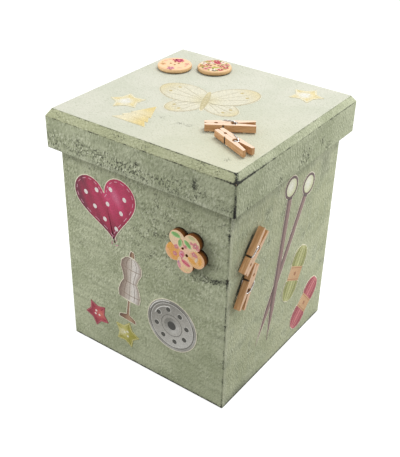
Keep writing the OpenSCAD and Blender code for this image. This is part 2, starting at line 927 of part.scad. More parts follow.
base_panel();
front_wall();
back_wall();
left_wall();
right_wall();
lid_panel();
lid_front_rail();
lid_back_rail();
lid_left_rail();
lid_right_rail();
left_round_button();
right_round_button();
flower_button();
lid_back_peg_glued_leg();
lid_back_peg_moving_leg();
lid_back_peg_spring();
lid_front_peg_glued_leg();
lid_front_peg_moving_leg();
lid_front_peg_spring();
wall_upper_peg_glued_leg();
wall_upper_peg_moving_leg();
wall_upper_peg_spring();
wall_lower_peg_glued_leg();
wall_lower_peg_moving_leg();
wall_lower_peg_spring();
lid_peg_glue();
wall_peg_glue();
lid_butterfly_print();
lid_left_star_print();
lid_right_star_print();
lid_tree_print();
front_heart_print();
front_dress_form_print();
front_bobbin_print();
front_red_star_print();
front_green_star_print();
right_needles_print();
right_green_skein_print();
right_red_skein_print();
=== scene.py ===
"""Looks of a painted wooden craft box with printed cut-outs, wooden buttons and mini clothes pegs.

Lengths are millimetres; MM turns them into Blender's metres where a mesh or a light is made.
"""

import math

import bpy
import numpy as np
from mathutils import Color, Matrix, Vector, noise


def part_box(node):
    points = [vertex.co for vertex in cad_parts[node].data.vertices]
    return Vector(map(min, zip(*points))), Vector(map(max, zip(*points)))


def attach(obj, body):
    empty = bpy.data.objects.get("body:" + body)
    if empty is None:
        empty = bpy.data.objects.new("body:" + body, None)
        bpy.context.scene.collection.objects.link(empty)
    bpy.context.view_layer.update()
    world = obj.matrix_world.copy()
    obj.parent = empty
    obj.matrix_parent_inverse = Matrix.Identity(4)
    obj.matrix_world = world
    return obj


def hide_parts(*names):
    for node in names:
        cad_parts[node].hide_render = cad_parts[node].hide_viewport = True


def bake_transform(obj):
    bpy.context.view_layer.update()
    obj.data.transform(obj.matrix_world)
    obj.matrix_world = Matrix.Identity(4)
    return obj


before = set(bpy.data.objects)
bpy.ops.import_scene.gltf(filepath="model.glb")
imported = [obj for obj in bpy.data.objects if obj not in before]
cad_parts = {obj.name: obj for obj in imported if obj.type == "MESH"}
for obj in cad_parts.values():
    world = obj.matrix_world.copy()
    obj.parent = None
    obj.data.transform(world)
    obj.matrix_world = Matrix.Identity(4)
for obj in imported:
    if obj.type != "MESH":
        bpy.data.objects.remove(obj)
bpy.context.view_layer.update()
MM = 0.001


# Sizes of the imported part

def corners(name):
    """Lowest and highest corner of a node."""
    return np.array(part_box(name)) / MM


BODY_HALF = np.array([corners("right_wall")[1, 0], corners("back_wall")[1, 1]])
BODY_TOP = corners("right_wall")[1, 2]
LID_HALF = np.array([corners("lid_right_rail")[1, 0], corners("lid_back_rail")[1, 1]])
RAIL_FOOT = corners("lid_right_rail")[0, 2]
LID_TOP = corners("lid_panel")[1, 2]
PAPER_T = corners("lid_tree_print")[1, 2] - LID_TOP
BUTTON_T = corners("left_round_button")[1, 2] - LID_TOP
FLOWER_T = -BODY_HALF[1] - corners("flower_button")[0, 1]
# Sanded upright corners, and the chamfers along the foot of the walls and of the rails
CORNER_R = 0.5
FOOT_CHAMFER = 0.4
RAIL_CHAMFER = 0.2
# Inset of the lid's bevel along the sides and along front and back
BEVEL_INSET = np.array([2.4, 3.4])
WALL_T = 5
FINGER_COUNT = 5
FINGER_H = BODY_TOP / FINGER_COUNT


# Colours and node materials

def rgb(code):
    """Linear colour, with alpha, of a written #rrggbb."""
    written = Color([channel / 255 for channel in bytes.fromhex(code[1:])])
    return (*written.from_srgb_to_scene_linear(), 1.0)


class Nodes:
    """A node tree under construction: each method adds nodes and gives back an output socket."""

    def __init__(self, tree):
        self.tree = tree

    def join(self, socket, value):
        """Feeds an input from an output, or sets it to a number, a list or a written colour."""
        if isinstance(value, bpy.types.NodeSocket):
            self.tree.links.new(value, socket)
        else:
            socket.default_value = rgb(value) if isinstance(value, str) else value

    def add(self, kind, values, settings=None, output=0):
        node = self.tree.nodes.new("ShaderNode" + kind)
        for name, value in (settings or {}).items():
            setattr(node, name, value)
        for key, value in values.items():
            self.join(node.inputs[key], value)
        return node.outputs[output]

    def calc(self, operation, *values):
        return self.add("Math", dict(enumerate(values)), {"operation": operation})

    def plus(self, first, second):
        return self.calc("ADD", first, second)

    def times(self, first, second):
        return self.calc("MULTIPLY", first, second)

    def scaled(self, value, factor, offset):
        return self.calc("MULTIPLY_ADD", value, factor, offset)

    def seen_directly(self):
        """1 for rays from the camera, and for those that metal and glass send on."""
        rays = self.add("LightPath", {}).node.outputs
        shiny = self.calc("MAXIMUM", rays["Is Glossy Ray"], rays["Is Transmission Ray"])
        return self.calc("MAXIMUM", rays["Is Camera Ray"], shiny)


class Finish(Nodes):
    """A material under construction, with its constant shader inputs."""

    def __init__(self, name, constants):
        self.material = bpy.data.materials.new(name)
        self.material.use_nodes = True
        super().__init__(self.material.node_tree)
        self.shader = self.tree.nodes["Principled BSDF"]
        for socket, value in constants.items():
            self.join(self.shader.inputs[socket], value)

    def attribute(self, name):
        """Outputs of a value that the mesh holds at every point."""
        return self.add("Attribute", {}, {"attribute_name": name}).node.outputs

    def spots(self, lengths, turn=(0, 0, 0), detail=2.0, shift=(0, 0, 0)):
        """Noise whose grains have these lengths along the turned axes, moved by a shift."""
        values = {"Vector": self.add("TexCoord", {}, output="Object"), "Rotation": turn,
                  "Scale": [length * MM for length in lengths], "Location": [way * MM for way in shift]}
        spread = self.add("Mapping", values, {"vector_type": "TEXTURE"})
        return self.add("TexNoise", {"Vector": spread, "Scale": 1.0, "Detail": detail})

    def along(self, vector, axis):
        return self.add("VectorMath", {0: vector, 1: axis}, {"operation": "DOT_PRODUCT"}, "Value")

    def facing(self, axis):
        """1 where the surface faces along an axis, 0 where it stands square to it."""
        return self.along(self.add("TexCoord", {}, output="Normal"), axis)

    def rise(self, value, low, high):
        """0 below low, 1 above high and smooth between them."""
        settings = {"interpolation_type": "SMOOTHSTEP"}
        return self.add("MapRange", {"Value": value, "From Min": low, "From Max": high}, settings)

    def mix(self, share, first, second):
        return self.add("Mix", {0: share, 6: first, 7: second}, {"data_type": "RGBA"}, 2)

    def tint(self, base, colour, value, low, high, share=None):
        """A base that goes over to a colour, or to a share of it, where a value rises from low to high."""
        cover = self.rise(value, low, high)
        return self.mix(cover if share is None else self.times(cover, share), base, colour)

    def colour(self, value):
        self.join(self.shader.inputs["Base Color"], value)

    def bump(self, height, depth):
        """Small relief: height 1 stands this deep above height 0."""
        self.join(self.shader.inputs["Normal"], self.add("Bump", {"Height": height, "Distance": depth * MM}))


# The sponge's dabs: their lengths, how they lean, and the shift that shows which side of them is lit
DAB_SIZE = (1, 1, 2.6)
DAB_LEAN = (math.radians(10), math.radians(24), 0)
DAB_SHIFT = (0.4, 0.4, 0.5)


def sponged_paint():
    """Sage paint dabbed on with a sponge: mottled, pitted, pale on the lid, charcoal where worn and where
    shade is painted.

    The coat at every point holds paleness, wear with painted shade, pitting and, as alpha, tone: warm above
    0, and below 0 darker for stains and painted shade.
    """
    paint = Finish("sponged_paint", {"Roughness": 0.85, "Specular IOR Level": 0.25})
    coat = paint.attribute("coat")
    pale, worn_and_shaded, pitted = paint.add("SeparateColor", {"Color": coat["Color"]}).node.outputs
    tone = coat["Alpha"]
    clouds = paint.spots((16, 16, 16), detail=3)
    streaks = paint.spots((24, 24, 2.4))
    dabs = paint.spots(DAB_SIZE, DAB_LEAN)
    fine = paint.spots((0.6, 0.6, 0.9), DAB_LEAN)
    patches = paint.rise(paint.spots((10, 10, 7)), 0.36, 0.62)
    # Painted shade and painted highlight on opposite sides of each dab, as if the dabs were lit from one
    # side
    relief = paint.calc("SUBTRACT", dabs, paint.spots(DAB_SIZE, DAB_LEAN, shift=DAB_SHIFT))
    stipple = paint.times(paint.scaled(pitted, 1.3, -0.05), paint.scaled(patches, 0.7, 0.3))
    speckles = paint.scaled(pitted, 0.55, 0.1)
    side = paint.tint("#a0a687", "#b3b89a", clouds, 0.35, 0.65)
    side = paint.tint(side, "#8f947a", streaks, 0.45, 0.7, 0.4)
    side = paint.tint(side, "#6f745b", relief, 0.02, 0.22, stipple)
    side = paint.tint(side, "#d6d9c0", relief, -0.05, -0.22, stipple)
    side = paint.tint(side, "#7d8269", dabs, 0.48, 0.7, speckles)
    side = paint.tint(side, "#cdd0b5", fine, 0.55, 0.7, speckles)
    side = paint.mix(paint.times(tone, 0.35), side, "#aeae84")
    # A tone below 0 darkens the paint: stains, and painted shade and shadow
    side = paint.mix(paint.times(tone, -1.0), side, "#4c5041")
    top = paint.tint("#bec0b0", "#c6c6b8", clouds, 0.3, 0.7)
    top = paint.tint(top, "#a3a791", dabs, 0.52, 0.75, 0.5)
    top = paint.mix(paint.times(tone, 0.45), top, "#c4c3a2")
    pits = paint.rise(paint.spots((0.9, 0.9, 1.4), DAB_LEAN), 0.54, 0.63)
    clusters = paint.rise(paint.plus(paint.spots((7, 7, 5)), pitted), 0.9, 1.25)
    holes = paint.times(pits, clusters)
    dark_holes = paint.times(holes, paint.scaled(pale, -0.45, 0.85))
    coloured = paint.mix(dark_holes, paint.mix(pale, side, top), "#4f5243")
    # The charcoal share holds real wear, and painted shade beside the front edge, beside the wall pegs and
    # under the lid
    worn_and_shaded_spots = paint.plus(worn_and_shaded, paint.scaled(fine, 0.9, -0.45))
    paint.colour(paint.tint(coloured, "#2b2c27", worn_and_shaded_spots, 0.16, 0.72))
    ridges = paint.plus(paint.times(dabs, 0.7), paint.times(fine, 0.4))
    paint.bump(paint.plus(ridges, paint.times(holes, -0.5)), 0.6)
    return paint.material


def bare_wood(name, lengths, painted_rim):
    """Pale basswood with its grain along the longest of the lengths; a wall's upper rim is painted."""
    wood = Finish(name, {"Roughness": 0.75, "Specular IOR Level": 0.25})
    fibres = wood.spots([length * 0.25 for length in lengths])
    tone = wood.tint("#cdb083", "#dfc79d", wood.spots(lengths, detail=3), 0.35, 0.65)
    tone = wood.tint(tone, "#a98658", fibres, 0.55, 0.75, 0.5)
    if painted_rim:
        worn_and_shaded = wood.rise(wood.spots((1.2, 1.2, 1.2), detail=3), 0.3, 0.42)
        tone = wood.tint(tone, "#a7ac91", wood.facing((0, 0, 1)), 0.6, 0.9, worn_and_shaded)
    wood.colour(tone)
    wood.bump(fibres, 0.1)
    return wood.material


def peg_wood(name, turn, face_axis, face_sheen):
    """Tan beech whose fibres run along the peg, paler on the face by a painted sheen; turn is the peg's
    rotation.
    """
    wood = Finish(name, {"Roughness": 0.6, "Specular IOR Level": 0.3})
    fibres = wood.spots((5, 0.28, 0.28), turn, detail=3)
    flecks = wood.spots((1.6, 0.16, 0.16), turn, detail=1)
    tone = wood.tint("#bd8d5f", "#d2a679", wood.spots((16, 0.9, 0.9), turn), 0.35, 0.65)
    tone = wood.tint(tone, "#a4744a", fibres, 0.5, 0.75, 0.6)
    tone = wood.tint(tone, "#7d5433", flecks, 0.62, 0.75, 0.5)
    wood.colour(wood.tint(tone, "#efdbc8", wood.facing(face_axis), 0.7, 0.95, face_sheen))
    wood.bump(fibres, 0.08)
    return wood.material


def button_wood(name, face, edge, foot, foot_fade_top, face_axis):
    """Printed wooden button: a pale face, and sides that darken to the foot from a share of their height.

    The dark foot is painted shadow; on the flower button it also darkens the burnt edge.
    """
    wood = Finish(name, {"Roughness": 0.5, "Specular IOR Level": 0.35})
    here = wood.add("TexCoord", {}, output="Generated")
    from_middle = wood.add("VectorMath", {0: here, 1: (0.5, 0.5, 0.5)}, {"operation": "SUBTRACT"})
    grain = wood.rise(wood.spots((6, 0.7, 0.7), (0, 0, math.radians(30)), detail=3), 0.35, 0.75)
    height = wood.plus(wood.along(from_middle, face_axis), wood.times(grain, 0.2))
    # Painted shadow darkens the side towards the foot
    side = wood.tint(foot, edge, height, -0.45, foot_fade_top)
    front = wood.mix(wood.times(grain, 0.25), face, edge)
    wood.colour(wood.tint(side, front, wood.facing(face_axis), 0.35, 0.75))
    wood.bump(grain, 0.04)
    return wood.material


def cut_paper(name, dark, light):
    """The edge and margin of the paper cut-outs."""
    paper = Finish(name, {"Roughness": 0.7, "Specular IOR Level": 0.3})
    fibres = paper.spots((0.7, 0.7, 0.7), detail=3)
    paper.colour(paper.tint(dark, light, fibres, 0.3, 0.7))
    paper.bump(fibres, 0.04)
    return paper.material


def printed_ink():
    """Ink under a satin varnish, in the colour that each point of a print holds."""
    ink = Finish("printed_ink", {"Roughness": 0.5, "Specular IOR Level": 0.35})
    colour = ink.attribute("ink")["Color"]
    fibres = ink.spots((0.5, 0.5, 0.5), detail=3)
    dark = ink.add("VectorMath", {0: colour, "Scale": 0.73}, {"operation": "SCALE"})
    ink.colour(ink.tint(dark, colour, fibres, 0.35, 0.7))
    ink.bump(fibres, 0.03)
    return ink.material


def spring_steel():
    """Bright wire, with painted shade where it lies in the grooves."""
    steel = Finish("spring_steel", {"Metallic": 1.0, "Roughness": 0.3})
    bright = steel.tint("#9b9b9b", "#e6e5e2", steel.spots((0.5, 0.5, 0.5)), 0.35, 0.65)
    steel.colour(steel.mix(steel.attribute("tarnish")["Fac"], bright, "#4a4742"))
    return steel.material


def clear_glue():
    glue = Finish("clear_glue", {"Roughness": 0.25, "Transmission Weight": 0.3})
    glue.colour(glue.tint("#d8c9a2", "#e8dfc4", glue.spots((0.8, 0.8, 0.8)), 0.3, 0.7))
    return glue.material


# Meshes

def unit(rows):
    """Every row as a direction of length 1."""
    return rows / np.linalg.norm(rows, axis=1, keepdims=True)


def add_piece(name, points, faces, material, body=None):
    """A mesh piece that rides on a body, if one is given; points lie in the part's frame."""
    mesh = bpy.data.meshes.new(name)
    mesh.from_pydata((np.asarray(points) * MM).tolist(), [], faces)
    mesh.materials.append(material)
    piece = bpy.data.objects.new(name, mesh)
    bpy.context.scene.collection.objects.link(piece)
    if body:
        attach(piece, body)
    return piece


def paint_points(piece, attribute, colours):
    layer = piece.data.color_attributes.new(attribute, "FLOAT_COLOR", "POINT")
    layer.data.foreach_set("color", np.asarray(colours, np.float32).ravel())


# Places on the faces of the box

def place(origin, right, up, turn):
    """A frame on a face: x runs right, y up and z off the face, turned by some degrees."""
    x, y = Vector(right), Vector(up)
    axes = Matrix((x, y, x.cross(y))).transposed().to_4x4()
    return Matrix.Translation(origin) @ axes @ Matrix.Rotation(math.radians(turn), 4, "Z")


def on_lid(x, y, turn=0):
    return place((x, y, LID_TOP), (1, 0, 0), (0, 1, 0), turn)


def on_front(x, z, turn=0):
    return place((x, -BODY_HALF[1], z), (1, 0, 0), (0, 0, 1), turn)


def on_right(y, z, turn=0):
    return place((BODY_HALF[0], y, z), (0, 1, 0), (0, 0, 1), turn)


HEART_PLACE = on_front(-24, 103, 12)
FORM_PLACE = on_front(-12, 30, -6)
BOBBIN_PLACE = on_front(20, 42)
RED_STAR_PLACE = on_front(-35.5, 23.9, 30)
GREEN_STAR_PLACE = on_front(-12.9, 19.6, -14)
FLOWER_PLACE = on_front(30.5, 96.9)
NEEDLE_PLACE = on_right(-6, 57)
GREEN_SKEIN_PLACE = on_right(16, 52, 62)
RED_SKEIN_PLACE = on_right(32, 21, 42)
BUTTERFLY_PLACE = on_lid(0, 0, 24)
TREE_PLACE = on_lid(-15.7, -33.7)
LEFT_STAR_PLACE = on_lid(-32.9, -25.7, 28)
RIGHT_STAR_PLACE = on_lid(38.7, 40.6, -5)
LEFT_BUTTON_PLACE = on_lid(-42.1, 28.1)
RIGHT_BUTTON_PLACE = on_lid(-21.9, 39.7)
# Name, place, carrier and the side of the leg that moves
PEGS = (
    ("lid_back_peg", on_lid(20.2, -29.4, 35), "lid", 1),
    ("lid_front_peg", on_lid(29.9, -30.9, -22), "lid", -1),
    ("wall_upper_peg", on_right(-45.5, 87.6, 46), "box", 1),
    ("wall_lower_peg", on_right(-35, 88.6, 242), "box", 1),
)


# Paint skins over the body and the lid

# Mean and least thickness of the paint, and how deep the skin's inner side lies in the wood
SKIN_T = 0.055
SKIN_MIN = 0.012
SKIN_SINK = 0.05
# Gap under the skin's inner foot, and between the body's skin and the lid panel
SKIN_FOOT_GAP = 0.02
SKIN_TOP_GAP = 0.1
SIDE_STOPS = 120
RING_COUNT = 4 * SIDE_STOPS
FINGER_RINGS = 24
RAIL_RINGS = 18
# Shares of the way up the bevel at which it has rings
BEVEL_RINGS = (0, 0.05, 0.13, 0.3, 0.5, 0.7, 0.87, 0.95, 1)
# Share of a quarter wave that draws the stops together towards the corners
CORNER_PULL = 0.85 * math.pi / 2
# Inset at which a chamfer or bevel has cut a sanded corner to a mitre, and the radius that is left there
MITRE_INSET = CORNER_R * (1 - math.sqrt(0.5))
MITRE_R = 0.05


def stops(count):
    """Places from -1 up to, but without, 1, closer together towards both ends."""
    return np.sin(np.linspace(-1, 1, count, endpoint=False) * CORNER_PULL) / math.sin(CORNER_PULL)


def ring(half, drawn_in):
    """Points round the outline, counter-clockwise from the front left, with their outward directions."""
    s = stops(SIDE_STOPS)
    one = np.ones_like(s)
    sides = [np.column_stack(side) for side in ((s, -one), (one, s), (-s, one), (-one, -s))]
    reach = half - drawn_in
    square = np.concatenate(sides) * reach
    radius = max(MITRE_R, CORNER_R * (1 - np.max(drawn_in) / MITRE_INSET))
    core = np.clip(square, radius - reach, reach - radius)
    outward = unit(square - core)
    return core + radius * outward, outward


def sleeve(half, profile):
    """Points and normals of rings along a profile of side inset, front inset and height."""
    profile = np.array(profile, float)
    points, normals = [], []
    for row, step in zip(profile, np.gradient(profile, axis=0)):
        flat, outward = ring(half, row[:2])
        points.append(np.column_stack([flat, np.full(len(flat), row[2])]))
        normals.append(np.column_stack([outward * step[2], outward ** 2 @ step[:2]]))
    return np.concatenate(points), unit(np.concatenate(normals))


def chamfer_rows(size, low, shares):
    """Profile rows at shares of the way up a chamfer that begins at a height."""
    return [(size * (1 - s), size * (1 - s), low + size * s) for s in shares]


def bridge(first, second, count=RING_COUNT):
    """Quads from the ring that begins at one index to the ring that begins at another."""
    faces = []
    for k in range(count):
        after = (k + 1) % count
        faces.append([first + k, first + after, second + after, second + k])
    return faces


def sleeve_faces(start, rings, count=RING_COUNT):
    """Quads between rings that begin at an index, looking outwards where the rings go up."""
    firsts = range(start, start + (rings - 1) * count, count)
    return [face for first in firsts for face in bridge(first, first + count, count)]


def top_grid(ring_start, inner_start):
    """Quads of a flat top: its border is the ring from one index, its other points start at another."""
    n = SIDE_STOPS
    front, right, back, left = (ring_start + np.arange(RING_COUNT)).reshape(4, n)
    index = np.empty((n + 1, n + 1), int)
    index[1:-1, 1:-1] = inner_start + np.arange((n - 1) ** 2).reshape(n - 1, n - 1)
    index[:-1, 0] = front
    index[-1, :-1] = right
    index[:0:-1, -1] = back
    index[0, :0:-1] = left
    quads = np.stack([index[:-1, :-1], index[1:, :-1], index[1:, 1:], index[:-1, 1:]], 2)
    return quads.reshape(-1, 4).tolist()


def grains(points, size, octaves=2):
    """Smooth noise at every point, with grains of about this size; about -1 to 1."""
    return np.array([noise.fractal(Vector(p) / size, 1.0, 2.0, octaves) for p in points])


def near(value, middle, width):
    """1 at the middle, falling smoothly to 0 beyond a width."""
    return np.exp(-((value - middle) / width) ** 2)


def smudge(across, up, *marks):
    """1 in the middle of each mark, falling smoothly to 0 beyond its half width and half height."""
    return sum(near(across, x, width) * near(up, y, height) for x, y, width, height in marks)


def paint_relief(points, depth):
    """Sponge relief: the height of the paint above the wood."""
    leaning = points * [1.0, 1.0, 0.5]
    return SKIN_T + depth * (0.6 * grains(leaning, 1.7) + 0.4 * grains(points, 4.5))


def edge_distance(points, half):
    """Distance from the nearest upright edge, along the faces."""
    return ((half - abs(points[:, :2])).clip(0).sum(1) - 2 * MITRE_INSET).clip(0)


def front_corner(points, half, reach):
    """1 at the front right upright edge, falling off over a reach."""
    return near(np.hypot(*(points[:, :2] - half * [1, -1]).T), 0, reach)


def finger_lines(z):
    """1 at the heights where the fingers of the corner joints meet, falling off close by."""
    return sum(near(z, k * FINGER_H, 0.4) for k in range(1, FINGER_COUNT))


# Marks in the paint: the two places of the middle on its face, then the half width and half height
FRONT_STREAK = (44, 82.9, 16, 2.2)
FRONT_STREAK_SLOPE = 0.29
FRONT_NICK = (54, 114.2, 2.5, 0.9)
FRONT_THICK_PAINT = (12, 92, 28, 26)
FRONT_SMEARS = ((53, 48.4, 9, 1.2), (54.5, 57, 3, 1.5))
RIGHT_STAIN = (40, 113, 4.5, 7.2)
RIGHT_FOOT_STAIN = (-38, 2, 15, 3.6)
SKIRT_SMEARS = ((1.7, 137.6, 2.4, 1.4), (36.8, 138, 2.3, 4.8))
SKIRT_FLECKS = ((5, 134, 5.5, 5.5), (23, 136, 2.5, 2.5), (31, 131, 3, 3), (-20, 130, 3, 3), (-48, 128, 3, 3))
LID_SCUFFS = ((-4.7, -30.8, 3, 3), (6, -31, 3, 3), (11.5, -30, 3, 3), (47.4, -48.5, 3, 3))
LID_WARM_CORNER = (LID_HALF[0], -LID_HALF[1], 60, 60)
# Painted shadow round the flower button: the middle and radius of its ring
FLOWER_SHADOW = (33.3, 95.2)
FLOWER_SHADOW_R = 10.5
# Painted shadow along a wall peg: from its tip and from its middle line, which the edge leaves by a slope
PEG_SHADOW = (14, 2.4, 12, 1.5)
PEG_SHADOW_SLOPE = 0.06
# Painted shade in a dark line on the front, beside the rounded edge of the corner joint: its inset from the
# corner, and its width
EDGE_SHADE_INSET = 0.7
EDGE_SHADE_W = 0.35
# The roughest height of the skirt
SKIRT_ROUGH_Z = 133


def beside_pegs(points):
    """Painted shadow: 1 along the side of each wall peg that looks to the front, falling off within a few
    millimetres.
    """
    stains_and_shade = np.zeros(len(points))
    for _, where, carrier, _ in PEGS:
        if carrier == "box":
            axes = np.array(where)
            along, across, off = ((points - axes[:3, 3]) @ axes[:3, :3]).T
            to_front = -np.sign(axes[1, 1]) * across - PEG_SHADOW_SLOPE * along
            stains_and_shade += (abs(off) < 1) * smudge(along, to_front, PEG_SHADOW)
    return stains_and_shade


def body_coat(points):
    """Paleness, wear, pitting and tone of the body's paint at every point.

    Paleness holds a painted highlight along the right wall's front edge; wear holds painted shade beside
    that edge, under the lid and beside the wall pegs; a tone below 0 darkens the paint, for stains and
    for painted shade under the lid and round the flower button.
    """
    x, y, z = points.T
    front = y < CORNER_R - BODY_HALF[1]
    right = x > BODY_HALF[0] - 0.1
    high = z / BODY_TOP
    under_lid = RAIL_FOOT - z
    edge = edge_distance(points, BODY_HALF)
    close = front_corner(points, BODY_HALF, 12)
    broken = (0.5 + 1.1 * grains(points, 6)).clip(0, 1)
    blotches = (1.6 * grains(points, 8) - 0.15).clip(0, 1)
    strokes = (1.5 * grains(points * [1, 1, 0.12], 2.6)).clip(0, 1)
    streak = front * smudge(x, z - FRONT_STREAK_SLOPE * (x - FRONT_STREAK[0]), FRONT_STREAK)

    # A dark line of painted shade beside the front right edge
    wear_and_shade = front * near(x, BODY_HALF[0] - EDGE_SHADE_INSET, EDGE_SHADE_W) * (0.28 + 0.3 * broken)
    wear_and_shade += 0.2 * broken * near(edge, 0, 0.35)
    wear_and_shade += finger_lines(z) * near(edge, 0, 0.8 * WALL_T) * (0.15 * broken + 0.35 * close)
    foot = near(z, 0, 1.6) * (0.5 + 0.2 * broken) + 0.14 * near(z, 0, 4)
    wear_and_shade += foot * (1 - 0.6 * near(edge, 0, 2))
    wear_and_shade += streak * (0.3 + 0.25 * broken + 0.25 * close)
    # Painted shade under the lid's skirt on the front, darker towards the right
    wear_and_shade += front * (0.17 + 0.05 * x / BODY_HALF[0]) * near(under_lid, 0, 6)
    # Painted shadow beside the wall pegs, and a dark nick on the front
    wear_and_shade += 0.7 * beside_pegs(points) + 0.5 * front * smudge(x, z, FRONT_NICK)

    pits = np.where(front, 0.22 + 0.1 * high, 0.19 + 0.22 * blotches)
    pits += 0.16 * high + 0.4 * streak + 0.14 * front * smudge(x, z, FRONT_THICK_PAINT)
    # The right wall a little paler, and paler still along the front edge: worn paint with a painted
    # highlight of the rounded edge
    pale = right * (0.06 + 0.2 * near(y, 1 - BODY_HALF[1], 1.5))

    # Painted shadow in a ring round the flower button
    round_flower = near(np.hypot(x - FLOWER_SHADOW[0], z - FLOWER_SHADOW[1]), FLOWER_SHADOW_R, 3)
    # Painted shadow under the lid's skirt on the front: a band just below where the skirt hides, and a broad
    # fall-off
    front_stains_and_shade = 0.3 * near(under_lid, 3.6, 2.2) + 0.12 * near(under_lid, 0, 24)
    front_stains_and_shade += 0.3 * round_flower + 0.3 * smudge(x, z, *FRONT_SMEARS)
    # Painted shade under the skirt on the other walls, with blotches and streaks in the paint
    other_stains_and_shade = 0.2 * near(under_lid, 6, 2.2) + 0.12 * blotches + 0.1 * strokes
    stains_and_shade = np.where(front, front_stains_and_shade, other_stains_and_shade)
    stains_and_shade += right * (0.3 * smudge(y, z, RIGHT_STAIN) + 0.45 * smudge(y, z, RIGHT_FOOT_STAIN))
    return np.column_stack([pale, wear_and_shade, pits, 0.5 * right * (1 - 10 * stains_and_shade).clip(0) - stains_and_shade])


def lid_coat(points):
    """Paleness, wear, pitting and tone of the lid's paint at every point.

    Paleness holds a painted highlight along the front skirt's foot; tone above 0 is warm, below 0 is painted
    shade.
    """
    x, y, z = points.T
    up_bevel = ((z - BODY_TOP) / (LID_TOP - BODY_TOP)).clip(0, 1)
    below = (BODY_TOP - z).clip(0) / (BODY_TOP - RAIL_FOOT)
    half = LID_HALF - up_bevel[:, None] * BEVEL_INSET
    on_top = up_bevel > 0.99
    on_bevel = (up_bevel > 0) & ~on_top
    front = y < CORNER_R - half[:, 1]
    right = x > half[:, 0] - CORNER_R
    edge = edge_distance(points, half)
    broken = (0.5 + 1.1 * grains(points, 5)).clip(0, 1)
    dark_end = near(y, -LID_HALF[1], 24) * np.where(front, 0.55 * front_corner(points, LID_HALF, 9), 1)

    at_corner = front_corner(points, half, 4) * near(edge, 0, np.where(right, 1.5, 0.95))
    wear_and_shade = at_corner * np.where(on_bevel, 0.48 - 0.36 * up_bevel + 0.3 * broken, 0.36 + 0.42 * below ** 2)
    wear_and_shade += 0.2 * broken * near(edge, 0, 0.5) * (up_bevel == 0)
    panel_line = near(z, BODY_TOP, 0.42 + 0.3 * dark_end)
    wear_and_shade += panel_line * (np.where(right, 0.18, 0.32) + 0.3 * broken + 0.4 * dark_end)
    brim = near(up_bevel, 0.95, 0.08) * (0.28 + 0.35 * broken) * np.where(right, 0.55, 1)
    wear_and_shade += on_bevel * (brim + 0.14 * right)
    wear_and_shade += 0.3 * broken * near(z, RAIL_FOOT, 0.5) + 0.62 * front * smudge(x, z, *SKIRT_SMEARS)

    rough = 0.32 + 0.2 * near(x, -15, 26) - 0.14 * near(x, LID_HALF[0], 30)
    pits = np.where(front, 0.36 + rough * near(z, SKIRT_ROUGH_Z, 5) + 0.1 * on_bevel, 0.3)
    pits += 0.75 * right * smudge(y, z, *SKIRT_FLECKS)
    pits = np.where(on_top, 0.12 + 0.6 * smudge(x, y, *LID_SCUFFS), pits)
    # Painted shade: the front skirt darker towards the right, the right skirt darker towards the back
    stains_and_shade = front * (0.03 + 0.05 * near(x, LID_HALF[0], 60)) + right * 0.06 * near(y, LID_HALF[1], 60)
    tone = np.where(on_bevel, ~right, on_top * smudge(x, y, LID_WARM_CORNER) - stains_and_shade)
    # Painted highlight along the foot of the front skirt, fading at the front corner
    rim = front * near(z, RAIL_FOOT + 1, 1.5) * (1 - front_corner(points, LID_HALF, 6))
    return np.column_stack([on_top + 0.16 * rim, wear_and_shade, pits, tone])


def add_skin(name, points, faces, coat, body):
    skin = add_piece(name, points, faces, PAINT, body)
    paint_points(skin, "coat", coat(points))
    skin.data.shade_smooth()


def body_paint():
    """Paint round the four walls, from the foot to just under the lid panel."""
    top = BODY_TOP - SKIN_TOP_GAP
    fingers = [FINGER_H * (i + 0.5 + 0.5 * s) for i in range(FINGER_COUNT) for s in stops(FINGER_RINGS)]
    outer = chamfer_rows(FOOT_CHAMFER, 0, (0, 0.35, 0.7, 1))
    outer += [(0, 0, z) for z in fingers if z > FOOT_CHAMFER] + [(0, 0, top)]
    points, normals = sleeve(BODY_HALF, outer)
    relief = paint_relief(points, 0.06)
    relief -= 0.05 * finger_lines(points[:, 2]) * near(edge_distance(points, BODY_HALF), 0, WALL_T)
    points = points + normals * relief.clip(SKIN_MIN)[:, None]
    foot = FOOT_CHAMFER + SKIN_SINK
    inside = [(SKIN_SINK, SKIN_SINK, top), (SKIN_SINK, SKIN_SINK, FOOT_CHAMFER), (foot, foot, SKIN_FOOT_GAP)]
    inner, _ = sleeve(BODY_HALF, inside)
    rings = len(outer) + len(inside)
    faces = sleeve_faces(0, rings) + bridge((rings - 1) * RING_COUNT, 0)
    add_skin("body_paint", np.concatenate([points, inner]), faces, body_coat, "box")


